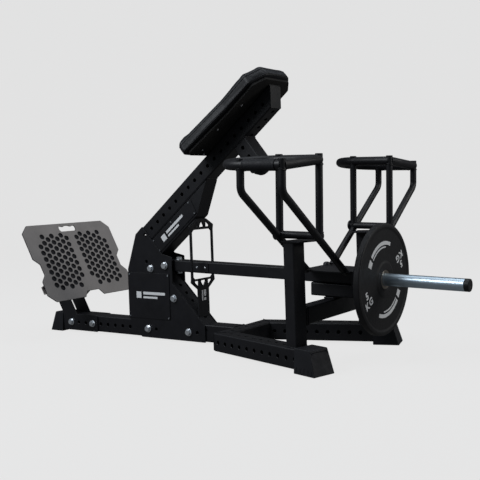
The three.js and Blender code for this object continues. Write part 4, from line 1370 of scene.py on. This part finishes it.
def arc_mark(name, start, end, inner, outer):
    steps = max(4, int(abs(end - start) / 2.5))
    out = [radians(start + (end - start) * i / steps) for i in range(steps + 1)]
    back = [radians(end - (end - start) * i / steps) for i in range(steps + 1)]
    outline = [(outer * cos(a), outer * sin(a)) for a in out]
    outline += [(inner * cos(a), inner * sin(a)) for a in back]
    plate(name, outline, WEB_X, WEB_X + .5, DISC_FACE, INK, chamfer=0.12)


def character(name, text, angle, across, up):
    """Raised character near the rim, turned with its place on the disc."""
    size, radius = 41, 156
    curve = bpy.data.curves.new(name, "FONT")
    curve.body = text
    curve.size = size
    curve.extrude = 0.25
    curve.offset = size * 0.034
    curve.align_x, curve.align_y = "CENTER", "CENTER"
    text_object = add_object(name, curve)
    graph = bpy.context.evaluated_depsgraph_get()
    mesh = bpy.data.meshes.new_from_object(text_object.evaluated_get(graph))
    bpy.data.objects.remove(text_object)
    spot = shift(radius * cos(radians(angle)), radius * sin(radians(angle)), WEB_X + .25)
    turn = Matrix.Rotation(radians(angle - 176), 4, "Z")
    mesh.transform(DISC_FACE @ spot @ turn @ shift(across, up, 0))
    mesh.materials.clear()
    mesh.materials.append(INK)
    add_piece(name, mesh, 30)


def bumper_plate():
    disc()
    for place, base in (("top", 0), ("low", 180)):
        for name, start, end, inner, outer in ARC_MARKS:
            arc_mark(f"mark_arc_{name}_{place}", base + start, base + end, inner, outer)
    for place, angle in (("r", 25), ("l", 205)):
        for i, (text, across, up) in enumerate(CHARACTERS):
            character(f"digit_{place}_{i}", text, angle, across, up)


# ------------------------------------------------------------------ building and finishing
# piece: the CAD node it stands in for
REPLACED = {
    "spine": "spine_beam", "crossmember_skin": "crossmember",
    "leg_R": "leg_right", "rear_foot_R": "rear_foot_right",
    "column_R": "column_right", "rest_plate_R": "rest_plate_right",
    "leg_L": "leg_left", "rear_foot_L": "rear_foot_left",
    "column_L": "column_left", "rest_plate_L": "rest_plate_left",
    "front_foot_boot": "front_foot", "rear_beam": "cross_beam", "stop_rubber": "lever_stop_pad",
    "post": "tower_post", "arm": "main_arm", "arm_cap": "arm_end_cap",
    "doubler": "arm_doubler", "brace": "brace_tube",
    "gusset_R": "gusset_right", "cover_R": "cover_plate_right",
    "gusset_L": "gusset_left", "cover_L": "cover_plate_left",
    "b_upper_a_head": "bolt_upper", "b_brace_a_head": "bolt_brace",
    "b_base_f_a_head": "bolt_base_front", "b_base_r_a_head": "bolt_base_rear",
    "b_brk_f_a_head": "bolt_bracket_front", "b_brk_r_a_head": "bolt_bracket_rear",
    "axle_a_head": "pivot_axle", "guide_frame": "guide_post",
    "stop_tube": "stop_bracket", "stop_buffer": "upper_bumper",
    "board": "pad_board", "cushion": "chest_pad", "footplate": "foot_plate",
    "mat_left": "foot_mat_left", "mat_right": "foot_mat_right",
    "channel_low": "foot_channel_lower", "channel_high": "foot_channel_upper",
    "bracket_R": "foot_bracket_right", "bracket_L": "foot_bracket_left",
    "lever_beam": "lever_tube", "pivot_housing": "lever_knuckle",
    "bush_right": "pivot_bush_right", "bush_left": "pivot_bush_left",
    "knuckle_a_head": "knuckle_bolt",
    "guide_R": "guide_plate_right", "guide_L": "guide_plate_left",
    "top_plate": "lever_top_plate", "stop_box": "lever_box", "rear_flange": "lever_flange",
    "loop_R": "handle_cage_right", "grip_R": "hand_grip_right",
    "loop_L": "handle_cage_left", "grip_L": "hand_grip_left",
    "sleeve_tube": "weight_sleeve", "sleeve_plug": "sleeve_cap",
    "bumper_disc": "weight_plate", "disc_hub": "plate_hub",
}


def finish_piece(piece, body):
    """Shades a piece and hands it to its body."""
    mesh, angle = piece.data, piece["smooth"]
    for face in mesh.polygons:
        face.use_smooth = True
    if angle < 179:
        mesh.set_sharp_from_angle(angle=radians(angle))
        if len(mesh.polygons) > 30:
            piece.modifiers.new("wn", "WEIGHTED_NORMAL").keep_sharp = True
    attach(piece, body)


def build_product():
    bodies = {}
    for body, sections in (("frame", (base_frame, tower, chest_pad, footplate)),
                           ("lever", (lever,)), ("plate", (bumper_plate,))):
        for section in sections:
            section()
        for name in PIECES:
            bodies.setdefault(name, body)
    for name, piece in PIECES.items():
        finish_piece(piece, bodies[name])
    for name, node in REPLACED.items():
        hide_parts(node)


# ------------------------------------------------------------------ stage, lights, camera
VIEW_ANGLE = 31.3               # degrees the backdrop is turned about Z


def paper():
    """White paper: bright to the camera, dim as a light source."""
    material = bpy.data.materials.new("paper")
    material.use_nodes = True
    tree = material.node_tree
    tree.nodes.clear()
    output, emission, diffuse, add, path, glow = (
        tree.nodes.new("ShaderNode" + kind) for kind in
        ("OutputMaterial", "Emission", "BsdfDiffuse", "AddShader", "LightPath", "Math"))
    emission.inputs["Color"].default_value = (1, 1, 1, 1)
    emission.inputs["Strength"].default_value = 0.735
    diffuse.inputs["Color"].default_value = (0.045, 0.045, 0.045, 1)
    glow.operation = "MULTIPLY_ADD"
    glow.inputs[1].default_value = 0.682        # extra strength seen by the camera
    glow.inputs[2].default_value = 0.07         # strength for all other rays
    for source, target in ((path.outputs["Is Camera Ray"], glow.inputs[0]),
                           (glow.outputs[0], emission.inputs["Strength"]),
                           (emission.outputs[0], add.inputs[0]),
                           (diffuse.outputs[0], add.inputs[1]),
                           (add.outputs[0], output.inputs[0])):
        tree.links.new(source, target)
    return material


def backdrop():
    """Floor that curves up into a wall behind the machine."""
    steps, radius, wall, half_width = 24, 3.0, 9.0, 14
    turns = [pi / 2 * i / steps for i in range(1, steps + 1)]
    profile = [(-14.0, 0.0), (wall - radius, 0.0)]
    profile += [(wall - radius + radius * sin(a), radius - radius * cos(a)) for a in turns]
    profile.append((wall, 12.0))
    angle = radians(VIEW_ANGLE)
    depth = Vector((-sin(angle), cos(angle), 0))
    side = Vector((cos(angle), sin(angle), 0))
    verts = []
    for distance, z in profile:
        for across in (-half_width, half_width):
            point = depth * distance + side * across
            verts.append((point.x, point.y, z - 0.0006))
    faces = [(2 * i, 2 * i + 1, 2 * i + 3, 2 * i + 2) for i in range(len(profile) - 1)]
    mesh = bpy.data.meshes.new("studio_sweep")
    mesh.from_pydata(verts, [], faces)
    for face in mesh.polygons:
        face.use_smooth = True
    sheet = add_object("studio_sweep", mesh)
    mesh.materials.append(paper())


def area_light(name, place, target, size, power, color):
    light = bpy.data.lights.new(name, "AREA")
    light.shape, light.size, light.size_y = "RECTANGLE", size[0], size[1]
    light.energy, light.color = power, color
    lamp = add_object(name, light)
    lamp.location = place
    aim = Vector(target) - Vector(place)
    lamp.rotation_euler = aim.to_track_quat("-Z", "Y").to_euler()


def lights():
    area_light("key", place=(-1.8, -3.2, 3.6), target=(-0.1, 0, 0.6), size=(2.6, 1.8),
               power=150, color=(0.92, 0.96, 1.0))
    area_light("top", place=(0.6, 0.4, 4.2), target=(0, 0, 0.4), size=(3.4, 2.4),
               power=46, color=(0.9, 0.95, 1.0))
    area_light("rim", place=(3.4, 1.6, 2.2), target=(0.3, 0, 0.6), size=(1.4, 2.2),
               power=45, color=(1.0, 0.98, 0.95))


def world():
    """Dim blue fill light; the camera sees near-white beyond the paper."""
    studio = bpy.data.worlds.new("studio")
    studio.use_nodes = True
    SCENE.world = studio
    tree = studio.node_tree
    fill = tree.nodes["Background"]
    seen, path, mix = (tree.nodes.new("ShaderNode" + kind)
                       for kind in ("Background", "LightPath", "MixShader"))
    for node, color, strength in ((fill, (0.78, 0.88, 1.0, 1), 0.16),
                                  (seen, (1, 1, 1, 1), 0.765)):
        node.inputs["Color"].default_value = color
        node.inputs["Strength"].default_value = strength
    for source, target in ((path.outputs["Is Camera Ray"], mix.inputs[0]),
                           (fill.outputs[0], mix.inputs[1]), (seen.outputs[0], mix.inputs[2]),
                           (mix.outputs[0], tree.nodes["World Output"].inputs[0])):
        tree.links.new(source, target)


def camera():
    """Looks from the rear right, slightly downwards, with a small roll and a shifted lens."""
    turn, pitch, roll = radians(31.284), radians(1.958), radians(-1.764)
    back = Vector((sin(turn) * cos(pitch), -cos(turn) * cos(pitch), sin(pitch)))
    level = Vector((0, 0, 1)).cross(back).normalized()
    upright = back.cross(level)
    right = cos(roll) * level + sin(roll) * upright
    up = -sin(roll) * level + cos(roll) * upright
    lens = bpy.data.cameras.new("camera")
    eye = add_object("camera", lens)
    eye.matrix_world = axes(right, up, back, (2.22355, -2.854, 0.7162))
    lens.sensor_width = 36.0
    lens.lens = 60.096
    lens.shift_x, lens.shift_y = -0.16860417, -0.06083333
    lens.clip_end = 60
    SCENE.camera = eye


build_product()
SCENE.view_settings.view_transform = "Standard"
SCENE.view_settings.look = "None"
backdrop()
lights()
world()
camera()
